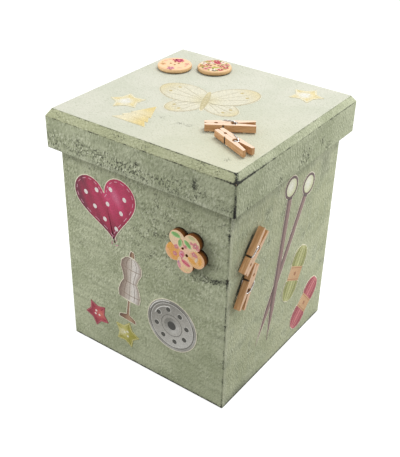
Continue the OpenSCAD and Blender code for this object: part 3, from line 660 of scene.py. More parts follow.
def lid_paint():
    """Paint over the lid's rails, bevel and top."""
    rail_low = RAIL_FOOT + RAIL_CHAMFER
    rail_middle, rail_half = (BODY_TOP + rail_low) / 2, (BODY_TOP - rail_low) / 2
    outer = chamfer_rows(RAIL_CHAMFER, RAIL_FOOT, (0, 0.5))
    outer += [(0, 0, rail_middle + s * rail_half) for s in stops(RAIL_RINGS)]
    outer += [(*(BEVEL_INSET * s), BODY_TOP + (LID_TOP - BODY_TOP) * s) for s in BEVEL_RINGS]
    points, normals = sleeve(LID_HALF, outer)
    relief = paint_relief(points, 0.05) - 0.045 * near(points[:, 2], BODY_TOP, 0.4)
    points = points + normals * relief.clip(SKIN_MIN)[:, None]
    spread = [stops(SIDE_STOPS)[1:] * reach for reach in LID_HALF - BEVEL_INSET]
    x, y = np.meshgrid(*spread, indexing="ij")
    top = np.column_stack([x.ravel(), y.ravel(), np.full(x.size, LID_TOP)])
    top[:, 2] += paint_relief(top, 0.04).clip(SKIN_MIN)
    foot = RAIL_CHAMFER + SKIN_SINK
    inside = [(*(BEVEL_INSET + SKIN_SINK), LID_TOP - SKIN_SINK), (SKIN_SINK, SKIN_SINK, BODY_TOP),
              (SKIN_SINK, SKIN_SINK, rail_low), (foot, foot, RAIL_FOOT + SKIN_FOOT_GAP)]
    inner, _ = sleeve(LID_HALF, inside)
    inner_start = len(points) + len(top)
    faces = sleeve_faces(0, len(outer)) + top_grid(len(points) - RING_COUNT, len(points))
    faces.append([inner_start + k for k in reversed(range(RING_COUNT))])
    faces += sleeve_faces(inner_start, len(inside))
    faces += bridge(inner_start + (len(inside) - 1) * RING_COUNT, 0)
    add_skin("lid_paint", np.concatenate([points, top, inner]), faces, lid_coat, "lid")


# Outlines, counter-clockwise, as rows of x and y

def turned(points, degrees):
    c, s = math.cos(math.radians(degrees)), math.sin(math.radians(degrees))
    return np.asarray(points, float) @ np.array([[c, s], [-s, c]])


def oval(length, width, centre=(0, 0), turn=0, count=36):
    a = np.linspace(0, 2 * np.pi, count, endpoint=False)
    return turned(np.column_stack([length / 2 * np.cos(a), width / 2 * np.sin(a)]), turn) + centre


def disc(size, centre=(0, 0), count=36):
    return oval(size, size, centre, 0, count)


def arc(radius, start, end, centre=(0, 0), count=16):
    """An open line of points from one angle to another, in degrees."""
    a = np.radians(np.linspace(start, end, count))
    return np.column_stack([radius * np.cos(a), radius * np.sin(a)]) + centre


def closed(outline):
    """The line round an outline, clockwise, back to its first point."""
    return np.concatenate([outline, outline[:1]])[::-1]


def inset(outline, margin):
    """An outline moved in by a margin."""
    before = unit(outline - np.roll(outline, 1, 0))
    after = unit(np.roll(outline, -1, 0) - outline)
    left = [np.column_stack([-v[:, 1], v[:, 0]]) for v in (before, after)]
    spread = 1 + (left[0] * left[1]).sum(1, keepdims=True)
    return outline + margin * (left[0] + left[1]) / spread.clip(0.4)


def graded(codes, share):
    """A shade through several colours, evenly spaced, by a share worked out from x and y."""
    colours = np.array([rgb(code) for code in codes])
    places = np.linspace(0, 1, len(codes))

    def shade(flat):
        at = share(flat[:, 0], flat[:, 1])
        return np.column_stack([np.interp(at, places, channel) for channel in colours.T])

    return shade


# Prints

LAYER_T = 0.02
# White margin round the printed figures, and the narrower one of stars and tree
MARGIN = 0.45
STAR_MARGIN = 0.12


class Print:
    """Printed layers on a cut-out or button: thin closed shapes with a colour at every point."""

    def __init__(self, base):
        self.base = base
        self.points = []
        self.faces = []
        self.colours = []

    def sheet(self, flat, faces, border, shade, layer):
        """A flat grid of points as a closed sheet; shade is a colour code, or a function of the points."""
        start, count = len(self.points), len(flat)
        for height in (self.base + LAYER_T * (layer + 1), self.base - LAYER_T):
            self.points += [(x, y, height) for x, y in flat]
        colours = shade(flat) if callable(shade) else np.tile(rgb(shade), (count, 1))
        self.colours += [*colours, *colours]
        self.faces += [[start + i for i in face] for face in faces]
        self.faces += [[start + count + i for i in reversed(face)] for face in faces]
        for a, b in zip(border, border[1:] + border[:1]):
            self.faces.append([start + count + a, start + count + b, start + b, start + a])

    def fill(self, outline, shade, layer=0, rings=1):
        """Fills an outline whose middle sees all of it."""
        outline = np.asarray(outline, float)
        count = len(outline)
        middle = outline.mean(0)
        shares = np.linspace(1, 0, rings, endpoint=False)
        flat = np.concatenate([middle + share * (outline - middle) for share in shares] + [[middle]])
        faces = []
        for k in range(count):
            after = (k + 1) % count
            for r in range(0, (rings - 1) * count, count):
                faces.append([r + k, r + after, r + count + after, r + count + k])
            faces.append([(rings - 1) * count + k, (rings - 1) * count + after, rings * count])
        self.sheet(flat, faces, list(range(count)), shade, layer)

    def band(self, left, right, shade, layer=0, columns=1):
        """Fills the space between two upward lines with as many points each."""
        left, right = np.asarray(left, float), np.asarray(right, float)
        shares = np.linspace(0, 1, columns + 1)[None, :, None]
        grid = left[:, None] + (right - left)[:, None] * shares
        rows, width = len(left), columns + 1
        faces = [[r * width + c, r * width + c + 1, (r + 1) * width + c + 1, (r + 1) * width + c]
                 for r in range(rows - 1) for c in range(columns)]
        border = list(range(width)) + [r * width + columns for r in range(1, rows)]
        border += [(rows - 1) * width + c for c in reversed(range(columns))]
        border += [r * width for r in reversed(range(1, rows - 1))]
        self.sheet(grid.reshape(-1, 2), faces, border, shade, layer)

    def line(self, points, width, shade, layer=1):
        """A drawn line of a width along points."""
        points = np.asarray(points, float)
        along = unit(np.gradient(points, axis=0))
        side = np.column_stack([-along[:, 1], along[:, 0]]) * width / 2
        self.band(points + side, points - side, shade, layer)

    def blossom(self, centre, radius, petals, eye, layer=1):
        """A small round-petalled flower."""
        for turn in range(18, 378, 72):
            at = np.array(centre) + turned([[radius * 0.55, 0]], turn)[0]
            self.fill(oval(radius * 0.95, radius * 0.75, at, turn, 10), petals, layer)
        self.fill(disc(radius * 0.5, centre, 10), eye, layer + 1)

    def leaf(self, centre, length, turn, shade, layer=1):
        self.fill(oval(length, length * 0.45, centre, turn, 12), shade, layer)

    def lay(self, name, where, body):
        """Makes the print a piece at a place."""
        axes = np.array(where)
        points = np.array(self.points) @ axes[:3, :3].T + axes[:3, 3]
        piece = add_piece(name, points, self.faces, INK, body)
        paint_points(piece, "ink", self.colours)


HEART_W = 44
HEART_DOTS = ((-13.5, 6), (-5, 8), (5.5, 9.5), (14, 4.5), (-9, -2), (1, 0.5), (9.5, -4), (-3.5, -9),
              (3.5, -14))
HEART_STITCH_INSET = 1.5


def heart_print():
    """A dotted heart pincushion with a stitched edge."""
    ink = Print(PAPER_T)
    a = np.radians(np.arange(354, -1, -6))
    y = 13 * np.cos(a) - 5 * np.cos(2 * a) - 2 * np.cos(3 * a) - np.cos(4 * a)
    outline = inset(HEART_W / 32 * np.column_stack([16 * np.sin(a) ** 3, y]), MARGIN)

    def sheen(x, y):
        folds = 0.42 + 0.012 * x + 0.008 * y + 0.09 * np.sin(0.8 * x + 0.25 * y)
        return folds + 0.3 * smudge(x, y, (7, 5, 7, 7)) - 0.3 * near(np.hypot(x + 2, y) / 21, 1, 0.35)

    ink.fill(outline, graded(["#6d1f36", "#a82a4c", "#c8406a", "#d9809c"], sheen), rings=14)
    stitches = inset(outline, HEART_STITCH_INSET)
    for k in range(0, len(stitches) - 1, 2):
        ink.line(stitches[k:k + 2], 0.4, "#e0a3b4")
    for dot in HEART_DOTS:
        ink.fill(oval(2.5, 2.9, dot, 20, 14), "#efe6e2", 1)
    ink.lay("heart_ink", HEART_PLACE, "box")


FORM_H = 50
FORM_HIP = 8.2
# Half widths of the dressmaker's form, as shares of the hips, at heights from foot to top
FORM_PROFILE = np.array([
    [0.00, 0.80], [0.05, 0.74], [0.09, 0.16], [0.29, 0.13], [0.31, 0.92], [0.40, 1.00], [0.50, 0.84],
    [0.58, 0.60], [0.66, 0.72], [0.74, 0.94], [0.82, 0.90], [0.88, 0.62], [0.91, 0.28], [0.96, 0.24],
    [1.00, 0.14],
])
FORM_WOOD = ["#5b4334", "#8c6c54", "#b99a7e", "#7a5b45"]
FORM_LINEN = ["#7f6c5e", "#b3a294", "#d9d0c4", "#efeae2", "#a89889"]
FORM_ZONES = ((0, 0.3, FORM_WOOD), (0.3, 0.91, FORM_LINEN), (0.91, 1, FORM_WOOD))
# Gap at both ends of a zone, as a share of the height
FORM_GAP = 0.008


def form_half(y):
    """Half width of the printed form at a height, within its margin."""
    return FORM_HIP * np.interp(y / FORM_H, *FORM_PROFILE.T) - MARGIN


def form_print():
    """A linen dressmaker's form on a turned stand."""
    ink = Print(PAPER_T)

    def across(x, y):
        return 0.5 + 0.5 * x / (form_half(y) + 0.01)

    for low, high, codes in FORM_ZONES:
        bends = [height for height in FORM_PROFILE[:, 0] if low < height < high]
        y = FORM_H * np.unique([*np.linspace(low + FORM_GAP, high - FORM_GAP, 14), *bends])
        half = form_half(y).clip(0.3)
        ink.band(np.column_stack([-half, y]), np.column_stack([half, y]), graded(codes, across), columns=10)
    y = FORM_H * np.linspace(0.32, 0.9, 16)
    for share in (-0.5, 0, 0.5):
        ink.line(np.column_stack([share * form_half(y), y]), 0.3, "#8a7867")
    for height in (0.40, 0.58, 0.76):
        half = form_half(FORM_H * height)
        x = np.linspace(half, -half, 9)
        ink.line(np.column_stack([x, FORM_H * height - 0.9 * (1 - (x / half) ** 2)]), 0.4, "#9c8876")
    ink.lay("dress_form_ink", FORM_PLACE, "box")


BOBBIN_D = 34
BOBBIN_HOLE_D = 3.6
BOBBIN_HOLE_COUNT = 8


def bobbin_print():
    """A steel sewing-machine bobbin, seen on its flat side."""
    ink = Print(PAPER_T)
    rim = BOBBIN_D / 2 - MARGIN

    def brushed(x, y):
        return 0.5 + 0.4 * np.sin(0.11 * x - 0.16 * y + 0.4)

    steel = graded(["#77756d", "#a19e95", "#c4c2ba", "#8e8b83"], brushed)
    plate = graded(["#8b8880", "#b4b1a8", "#cfcdc6"], lambda x, y: 0.5 + 0.02 * x - 0.03 * y)
    ink.fill(disc(2 * rim, count=60), steel, rings=6)
    ink.fill(disc(1.7 * rim, count=60), plate, 1, 5)
    for radius, tone in ((0.9, "#5f5d56"), (0.86, "#d6d4cd"), (0.42, "#6b6962")):
        ink.line(arc(radius * rim, 360, 0, count=60), 0.35, tone, 2)
    for k in range(BOBBIN_HOLE_COUNT):
        hole = turned([[0.63 * rim, 0]], 12 + k * 360 / BOBBIN_HOLE_COUNT)[0]
        ink.fill(disc(BOBBIN_HOLE_D, hole, 16), "#d9d7d0", 2)
        ink.fill(disc(BOBBIN_HOLE_D - 0.5, hole - [0.15, 0.1], 16), "#4b4a43", 3)
    hub = graded(["#86847c", "#c9c7c0"], lambda x, y: 0.5 + 0.1 * x - 0.1 * y)
    ink.fill(disc(0.62 * rim, count=30), hub, 2, 3)
    ink.fill(disc(0.34 * rim, count=24), "#3f3e39", 3)
    for radius in (0.95, 0.74):
        ink.line(arc(radius * rim, 160, 95), 0.5, "#eceae4", 3)
    ink.lay("bobbin_ink", BOBBIN_PLACE, "box")


LID_STAR_R = 10
FRONT_STAR_R = 9.3
# Radius between the tips, as a share of the star's
STAR_WAIST = 0.6
STAR_HOLES = ((-0.16, 0.02), (0.12, -0.14), (0.02, 0.2))
# Tones from the glow out, rim, ridges, sewing holes, and the glow's place as shares of the radius
RED_STAR = (["#d97f6a", "#c4585a", "#a83849", "#8c2d3c"], "#bd6a72", "#8a2a3a", "#f0ddd4", (0.3, -0.1))
GREEN_STAR = (["#ece8c8", "#cdc67c", "#a7a146", "#a59f48"], "#d6d094", "#918d38", "#efecd2", (-0.35, 0))
GOLD_STAR = (["#e2e1d8", "#dfdbc6", "#dccb92", "#dad2ac"], "#e2ddc6", "#d6c48c", "#e4e2da", (-0.12, -0.1))


def star_print(name, radius, where, body, look):
    """A plump five-pointed star with a rim, ridges and sewing holes."""
    ink = Print(PAPER_T)
    tones, rim, ridge, hole, glow = look
    turns = np.pi / 2 + np.arange(10) * np.pi / 5
    reach = np.where(np.arange(10) % 2 == 0, radius, STAR_WAIST * radius)
    outline = inset(np.column_stack([reach * np.cos(turns), reach * np.sin(turns)]), STAR_MARGIN)

    def off_glow(x, y):
        return 1.1 * np.hypot(x / radius - glow[0], y / radius - glow[1])

    ink.fill(outline, graded(tones, off_glow), rings=8)
    ink.line(closed(inset(outline, 0.4)), 0.55, rim)
    for tip in outline[::2]:
        ink.line([0.45 * tip, 0.8 * tip], 0.4, ridge)
    for x, y in STAR_HOLES:
        ink.fill(disc(0.17 * radius, (x * radius, y * radius), 14), hole, 2)
    ink.lay(name, where, body)


NEEDLE_LEN = 104
NEEDLE_W = 5.4
NEEDLE_KNOB_R = 7
NEEDLE_TAPER = NEEDLE_LEN / 5
# Height of the dark collar above the lower side of the knob
NEEDLE_COLLAR = 0.4
# Height above the tips at which the needles cross, and how they lean
NEEDLE_CROSS = 38
NEEDLE_LEANS = (-28, -8)


def needle_half(y):
    """Half width of a printed needle at a height above its tip."""
    return (NEEDLE_W / 2 * np.minimum(1, y / NEEDLE_TAPER) - MARGIN).clip(0.12)


def draw_needle(ink, lean, layer):
    """One knitting needle with a painted knob, leaned about the point where the two cross."""
    def leaned(points):
        return turned(np.asarray(points, float) - [0, NEEDLE_CROSS], lean)

    def across(x, y):
        x, y = (turned(np.column_stack([x, y]), -lean) + [0, NEEDLE_CROSS]).T
        return 0.5 + 0.4 * x / needle_half(y)

    y = np.append(np.linspace(0.8, NEEDLE_TAPER, 5), NEEDLE_LEN - NEEDLE_KNOB_R)
    half = needle_half(y)
    wood = graded(["#4b3531", "#694d47", "#9c7e76", "#573d38"], across)
    ink.band(leaned(np.column_stack([-half, y])), leaned(np.column_stack([half, y])), wood, layer, 6)
    size = 2 * (NEEDLE_KNOB_R - MARGIN)
    middle = leaned([(0, NEEDLE_LEN - NEEDLE_KNOB_R)])[0]

    def off_shine(x, y):
        return np.hypot(x - middle[0] + 1, y - middle[1] - 1) / size * 1.5

    ink.fill(disc(size, middle), "#5d4641", layer + 1)
    ink.fill(disc(0.78 * size, middle), graded(["#f4f3e6", "#dfe0bd", "#a9b15e"], off_shine), layer + 2, 5)
    collar = NEEDLE_LEN - 2 * NEEDLE_KNOB_R + NEEDLE_COLLAR
    ink.line(leaned([(half[-1], collar), (-half[-1], collar)]), 0.9, "#43302c", layer + 3)


def needle_print():
    """Two crossed knitting needles."""
    ink = Print(PAPER_T)
    for order, lean in enumerate(NEEDLE_LEANS):
        draw_needle(ink, lean, 4 * order)
    ink.lay("needles_ink", NEEDLE_PLACE, "box")


SKEIN_LEN = 36
SKEIN_W = 18
SKEIN_BAND_W = 9
# How far the band draws in each side of the skein
SKEIN_WAIST = 1.2
SKEIN_STRANDS = 9


def skein_half(x):
    """Half width of a skein along its length."""
    round_start = (SKEIN_LEN - SKEIN_W) / 2
    ends = np.sqrt((SKEIN_W ** 2 / 4 - (abs(x) - round_start).clip(0) ** 2).clip(0))
    return np.where(abs(x) < SKEIN_BAND_W / 2, SKEIN_W / 2 - SKEIN_WAIST, ends)


def skein_print(name, where, dark, middle, light):
    """A skein of yarn with a paper band."""
    ink = Print(PAPER_T)

    def across(x, y):
        return 0.5 + y / SKEIN_W

    x = np.linspace(-1, 1, 41) * (SKEIN_LEN / 2 - MARGIN - 0.1)
    half = (skein_half(x) - MARGIN).clip(0.2)
    yarn = graded([dark, middle, light, middle, dark], across)
    ink.band(np.column_stack([x, half]), np.column_stack([x, -half]), yarn, columns=8)
    inner = abs(x) < SKEIN_LEN / 2 - 2.2
    for k, share in enumerate(np.linspace(-0.86, 0.86, SKEIN_STRANDS)):
        wave = share * half + 0.25 * np.sin(x * 0.8 + 2 * k)
        ink.line(np.column_stack([x, wave])[inner], 0.45, dark if k % 2 else light)
    edge = SKEIN_BAND_W / 2
    tall = SKEIN_W / 2 - SKEIN_WAIST - 0.25
    tan = graded(["#b98a5c", "#e3bd8d", "#f0d4aa", "#c79a6b"], across)
    ink.band([(-edge, -tall), (-edge, tall)], [(edge, -tall), (edge, tall)], tan, 2)
    for line_x in (0.9 - edge, edge - 0.9):
        ink.line([(line_x, -tall), (line_x, tall)], 0.35, "#a0693c", 3)
    ink.fill(disc(2.6, count=16), "#a0693c", 3)
    ink.lay(name, where, "box")


# Length, width and lift of a wing
UPPER_WING = (32, 22, 32)
LOWER_WING = (24, 16, -38)
BUTTERFLY_BODY = (26, 4.5)
BUTTERFLY_LINE = "#b2a98a"


def draw_wing(ink, wing, side, layer):
    """A pale wing with veins and two spots; side is 1 to the right and -1 to the left."""
    length, width, lift = wing
    outline = inset(turned(oval(length, width, (length / 2, 0), count=48), lift), MARGIN)
    if side < 0:
        outline = (outline * [-1, 1])[::-1]
    cream = graded(["#d3cba4", "#d8d4be", "#d6d2bc", "#d3c79b"], lambda x, y: np.hypot(x, y) / length)
    ink.fill(outline, cream, layer, 6)
    ink.line(closed(outline), 0.4, BUTTERFLY_LINE, layer + 1)
    for spread, reach in ((-16, 0.72), (0, 0.84), (15, 0.72)):
        vein = np.column_stack([np.linspace(2, reach * length, 8), np.zeros(8)])
        ink.line(turned(vein, lift + spread) * [side, 1], 0.25, BUTTERFLY_LINE, layer + 1)
    for spread in (-9, 9):
        spot = turned([[0.72 * length, 0]], lift + spread)[0] * [side, 1]
        ink.fill(oval(2.2, 1.6, spot, lift * side, 14), "#bfae78", layer + 1)


def butterfly_print():
    """A pale butterfly in ochre line."""
    ink = Print(PAPER_T)
    for side in (1, -1):
        draw_wing(ink, LOWER_WING, side, 0)
        draw_wing(ink, UPPER_WING, side, 2)
    length, width = BUTTERFLY_BODY
    body = graded(["#b5a97f", "#cdc39b", "#b3a77e"], lambda x, y: 0.5 + x / width)
    ink.fill(oval(width - 2 * MARGIN, length - 2 * MARGIN), body, 4, 4)
    for y in np.linspace(-6.5, 4, 6):
        ink.line([(1.1, y), (-1.1, y)], 0.25, "#9f946e", 5)
    ink.lay("butterfly_ink", BUTTERFLY_PLACE, "lid")


TREE_H = 23
TREE_W = 21.5
TREE_TIERS = 3
TREE_TIER_H = 13
# Bright patches of the gilt, as marks in the print
TREE_SHINE = ((8, -8, 7, 9.8), (0, 9, 6, 6))


def tree_print():
    """A golden fir tree of overlapping tiers."""
    ink = Print(PAPER_T)
    step = (TREE_H - TREE_TIER_H) / (TREE_TIERS - 1)
    gilt = graded(["#dac27a", "#dccb94", "#e0d9bd", "#e3e0d2"],
                  lambda x, y: 0.62 - 0.5 * smudge(x, y, *TREE_SHINE))
    for i in range(TREE_TIERS):
        foot = i * step - TREE_H / 2
        half = TREE_W / 2 * (1 - 0.2 * i)
        tier = inset(np.array([(-half, foot), (half, foot), (0, foot + TREE_TIER_H)]), STAR_MARGIN)
        sides = [np.linspace(a, b, 6, endpoint=False) for a, b in zip(tier, np.roll(tier, -1, 0))]
        ink.fill(np.concatenate(sides), gilt, 2 * i, 6)
        ink.line([(0.7 * half, foot + 0.5), (-0.2 * half, foot + 0.5)], 0.35, "#d3c292", 2 * i + 1)
    ink.lay("tree_ink", TREE_PLACE, "lid")


# Buttons

# Centre, radius, petals and eye of each blossom, then centre, length, turn and colour of each leaf
LEFT_BLOSSOMS = (
    ((-0.6, 5.2), 3.1, "#c23f62", "#e0708a"),
    ((-3.4, 4.4), 1.5, "#c4455f", "#e9c07a"),
    ((2.6, -7.3), 2.3, "#d07f96", "#e9b9a0"),
    ((-5, -4.6), 1.8, "#e0ac78", "#cf9a5c"),
    ((6.2, 3.6), 1.6, "#dfa08c", "#e8bd94"),
)
LEFT_LEAVES = (
    ((-7, 0.6), 3, 80, "#e6b097"), ((-6, 4), 3, 50, "#e6b097"), ((7.4, 0.8), 3, 100, "#e6b097"),
    ((6.4, -4), 3, 40, "#e6b097"), ((2.3, 4), 1.9, -30, "#c9b070"), ((0.2, -6.2), 1.9, 200, "#c9b070"),
    ((-7, -2.4), 1.9, 110, "#c9b070"),
)


def left_button_print():
    """A few blossoms on a peach ground."""
    ink = Print(BUTTON_T)
    for blossom in LEFT_BLOSSOMS:
        ink.blossom(*blossom)
    for leaf in LEFT_LEAVES:
        ink.leaf(*leaf)
    ink.lay("left_button_ink", LEFT_BUTTON_PLACE, "lid")


# Radius, count, blossom radius and first angle of the rings of blossoms
RIGHT_RINGS = ((7.2, 10, 1.9, 8), (4.2, 6, 1.5, 22))
RIGHT_TONES = (("#c04a52", "#efd9b0"), ("#d9948c", "#b23a48"), ("#efe3cf", "#c96a6a"))
RIGHT_RING_LEAVES = ("#7d8646", "#a3a746")
RIGHT_LEAVES = (
    ((2.2, -2.4), 4.4, 35, "#b5b548"), ((-5.2, -5.6), 3.2, 60, "#b5b548"),
    ((-6.6, 2.6), 2.6, 20, "#b5b548"), ((4.4, -7), 2.6, 30, "#6f7048"),
)


def right_button_print():
    """Blossoms and leaves, close together."""
    ink = Print(BUTTON_T)
    for radius, count, size, start in RIGHT_RINGS:
        for k in range(count):
            turn = start + k * 360 / count
            ink.blossom(turned([[radius, 0]], turn)[0], size, *RIGHT_TONES[k % 3])
            between = turned([[radius + 0.5, 0]], turn + 180 / count)[0]
            ink.leaf(between, 2.4, turn + 60, RIGHT_RING_LEAVES[k % 2])
    ink.blossom((-1.6, 5), 2.2, "#c23b4c", "#d9707a", 3)
    for leaf in RIGHT_LEAVES:
        ink.leaf(*leaf, 3)
    ink.lay("right_button_ink", RIGHT_BUTTON_PLACE, "lid")


PETAL_RING_R = 7.4
PETAL_D = 9.7
PETAL_TURN = 56
# Colours of the five petals from the middle out, counter-clockwise from the upper right one
PETAL_TONES = (
    ("#f9d4b6", "#fbd9b2", "#efdcac"),
    ("#f9d4b6", "#fcd8b6", "#f0deae"),
    ("#f6cca8", "#f0b56a", "#ecaa58", "#fbc594"),
    ("#f9d4b6", "#fad8b0", "#fac99c"),
    ("#f6cca8", "#f5c898", "#f4c080", "#fbc792"),
)
# Neighbouring petals overlap, so they lie in different layers
PETAL_LAYERS = (0, 1, 0, 1, 2)
# Centre, length, turn, colour and layer of the leaves on the orange petals and at the rim
ORANGE_LEAVES = (
    ((4.6, -3.5), 5.6, -26, "#f2b25a", 3), ((9.6, -2.4), 4.6, 84, "#f2b25a", 3),
    ((-9.6, 0.4), 5, 60, "#f2b25a", 3), ((-7.9, -3.4), 5, 110, "#f2b25a", 3),
    ((7.3, -2), 3.4, 70, "#f2dac2", 4),
)
OUTER_LEAVES = (
    ((-3.2, -9), 4, -75, "#e8a4ae", 3), ((-3.8, -7.4), 2.2, 60, "#c793aa", 4),
    ((1.8, -10.4), 4, 20, "#ecd09c", 3), ((4.2, 9.8), 4.4, -10, "#d2cc9a", 3),
)
# Centre, length and turn of the green leaves
GREEN_LEAVES = (((-5.5, 8.1), 6, -8), ((-2.8, 4.3), 4.8, 86), ((1.8, 5.1), 5.6, -43))
# Centre, radius and layer of the small blossoms
FLOWER_BLOSSOMS = (
    ((-5.2, 1.2), 1.5, 4), ((-6, -3.2), 1.5, 4), ((0.3, 3.2), 1.1, 6), ((6.6, 6), 2.1, 4),
    ((8.2, 4.8), 1.2, 6), ((5.8, 0.7), 1.6, 5), ((7.3, 0.2), 1, 7), ((4, 6.6), 0.9, 6),
)


def flower_button_print():
    """Painted petals, two of them orange, with leaves, small blossoms and a rose."""
    ink = Print(FLOWER_T)

    def outwards(x, y):
        return np.hypot(x, y) / 12.6 + 0.05 * np.sin(1.9 * x + 1.1 * y)

    for k, tones in enumerate(PETAL_TONES):
        turn = PETAL_TURN + 72 * k
        petal = oval(PETAL_D, PETAL_D, turned([[PETAL_RING_R, 0]], turn)[0], turn)
        ink.fill(petal, graded(tones, outwards), PETAL_LAYERS[k], 6)
    for leaf in ORANGE_LEAVES:
        ink.leaf(*leaf)
    for centre, length, turn in GREEN_LEAVES:
        ink.leaf(centre, length, turn, "#a5d491", 3)
        ink.leaf(np.array(centre) + turned([[0, 0.35]], turn)[0], 0.8 * length, turn, "#84b76c", 4)
    ink.line([(-3, 7.2), (-1.3, 5.8), (-0.9, 3.6)], 0.4, "#b3a870", 5)
    for centre, radius, layer in FLOWER_BLOSSOMS:
        ink.blossom(centre, radius, "#e99498", "#f2cdbc", layer)
    rose = graded(["#d05a70", "#e47f90", "#eda6ac"], lambda x, y: np.hypot(x + 1.8, y + 2.4) / 2.4)
    ink.fill(oval(4.4, 3.2, (-1.8, -2), 70), rose, 4, 4)
    ink.line(arc(1, 300, 60, (-1.9, -2.2)), 0.45, "#f4ccd2", 5)
    ink.line([(-1.6, -3.6), (-1.8, -4.6), (-1.5, -5.4)], 0.6, "#e08894", 6)
    ink.leaf((0.9, -6.5), 6, -22, "#ea8a92", 3)
    ink.line([(-1.2, -5.7), (0.8, -6.6), (3.2, -7.4)], 0.6, "#d05a6c", 5)
    for leaf in OUTER_LEAVES:
        ink.leaf(*leaf)
    ink.lay("flower_button_ink", FLOWER_PLACE, "box")


# Clothes pegs

COIL_FROM_TIP = 14.8
COIL_R = 1.3
COIL_PITCH = 1.4
WIRE_D = 0.6
WIRE_CLEARANCE = 0.06
WIRE_END_INSET = 0.4
ARM_RISE_RUN = 0.7
PEG_WIDTH = 3.6
PEG_STANDOFF = WIRE_D + 2 * WIRE_CLEARANCE
PEG_EDGE_R = 0.12
# The groove that holds the spring's arm, from the coil's middle
GROOVE = np.array([9.2 - COIL_FROM_TIP, 2.655])


def softened(path, passes):
    """A line of points with its corners cut a few times, ends kept."""
    for _ in range(passes):
        near_start = 0.75 * path[:-1] + 0.25 * path[1:]
        near_end = 0.25 * path[:-1] + 0.75 * path[1:]
        cut = np.stack([near_start, near_end], 1).reshape(-1, 3)
        path = np.concatenate([path[:1], cut[1:-1], path[-1:]])
    return path


def spring_path():
    """Middle line of a peg's spring about its coil: groove, arm, coil, arm and groove."""
    distance = np.linalg.norm(GROOVE)
    leave = math.atan2(GROOVE[1], GROOVE[0]) - math.acos(COIL_R / distance)
    arm = math.sqrt(distance ** 2 - COIL_R ** 2)
    height = PEG_WIDTH / 2 + WIRE_CLEARANCE + WIRE_D / 2
    start = COIL_R * np.array([math.cos(leave), math.sin(leave)])
    direction = np.array([-math.sin(leave), math.cos(leave)])
    stations = ((ARM_RISE_RUN, height), (arm / 2, height), (arm, height), (arm, 0),
                (arm, WIRE_END_INSET - PEG_WIDTH / 2))
    upper = np.array([[*(start + run * direction), rise] for run, rise in stations])
    lower = (upper * [1, -1, -1])[::-1]
    angles = np.linspace(-1, 1, 96) * (leave + 2 * math.pi)
    rise = COIL_PITCH * angles / (2 * math.pi)
    coil = np.column_stack([COIL_R * np.cos(angles), COIL_R * np.sin(angles), rise])
    return np.concatenate([softened(np.concatenate([lower, coil[:1]]), 3)[:-1], coil,
                           softened(np.concatenate([coil[-1:], upper]), 3)[1:]])


def tube(path, radius, sides):
    """Points and faces of a closed round tube along a path."""
    along = unit(np.gradient(path, axis=0))
    side = np.cross(along[0], [0.3, 0.5, 0.8])
    points = []
    for here, forward in zip(path, along):
        side = side - (side @ forward) * forward
        side /= np.linalg.norm(side)
        other = np.cross(forward, side)
        for a in np.arange(sides) * 2 * np.pi / sides:
            points.append(here + radius * (np.cos(a) * side + np.sin(a) * other))
    last = (len(path) - 1) * sides
    ends = [list(reversed(range(sides))), list(range(last, last + sides))]
    return np.array(points), sleeve_faces(0, len(path), sides) + ends


def soften_edges(name, width):
    """Rounds a node's sharp edges a little."""
    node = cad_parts[name]
    weld = node.modifiers.new("weld", "WELD")
    weld.merge_threshold = 0.002 * MM
    bevel = node.modifiers.new("soft_edges", "BEVEL")
    bevel.width = width * MM
    bevel.segments = 2
    bevel.limit_method = "ANGLE"
    bevel.angle_limit = math.radians(35)


def dress(material, *names):
    """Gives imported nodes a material."""
    for name in names:
        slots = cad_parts[name].data.materials
        slots.clear()
        slots.append(material)


def dress_pegs():
    """Wood for the legs of every peg, and round wire in place of its spring."""
    middle = [COIL_FROM_TIP, 0, PEG_STANDOFF + PEG_WIDTH / 2]
    steel = spring_steel()
    points, faces = tube(spring_path(), WIRE_D / 2, 12)
    # Painted shade on the wire where it lies in a groove
    in_groove = (abs(points[:, 1]) > GROOVE[1] - WIRE_D) & (abs(points[:, 2]) < PEG_WIDTH / 2)
    tarnish = np.repeat(in_groove[:, None], 4, 1)
    for name, where, carrier, moving in PEGS:
        axes = np.array(where)
        wire = (points + middle) @ axes[:3, :3].T + axes[:3, 3]
        spring = add_piece(name + "_spring_wire", wire, faces, steel)
        spring.data.shade_smooth()
        paint_points(spring, "tarnish", tarnish)
        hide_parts(name + "_spring")
        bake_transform(spring)
        # The face's painted sheen is stronger on the lid, where the light falls from above
        wood = peg_wood(name + "_wood", where.to_euler(), axes[:3, 2], 0.65 if carrier == "lid" else 0.35)
        for leg in ("_glued_leg", "_moving_leg"):
            dress(wood, name + leg)
            soften_edges(name + leg, PEG_EDGE_R)


def dress_boards():
    """Bare wood for the boards, with its grain along each board."""
    along_x, along_y = (40, 2.2, 2.2), (2.2, 40, 2.2)
    dress(bare_wood("wall_wood_x", along_x, True), "front_wall", "back_wall")
    dress(bare_wood("wall_wood_y", along_y, True), "left_wall", "right_wall")
    flat_boards = ("base_panel", "lid_panel", "lid_front_rail", "lid_back_rail")
    dress(bare_wood("board_wood_x", along_x, False), *flat_boards)
    dress(bare_wood("board_wood_y", along_y, False), "lid_left_rail", "lid_right_rail")


# Material and node of a button, colours of its face, edge and painted-shadow foot,
# the share of its height where that shadow ends, and its axis; the flower button's edge is also burnt
BUTTON_LOOKS = (
    ("left_button_wood", "left_round_button", "#e9c099", "#deb787", "#44331a", 0.1, (0, 0, 1)),
    ("right_button_wood", "right_round_button", "#dab78e", "#c8a272", "#2c200c", 0.1, (0, 0, 1)),
    ("flower_button_wood", "flower_button", "#f0c8a8", "#9a5d25", "#0e0702", 0.66, (0, -1, 0)),
)


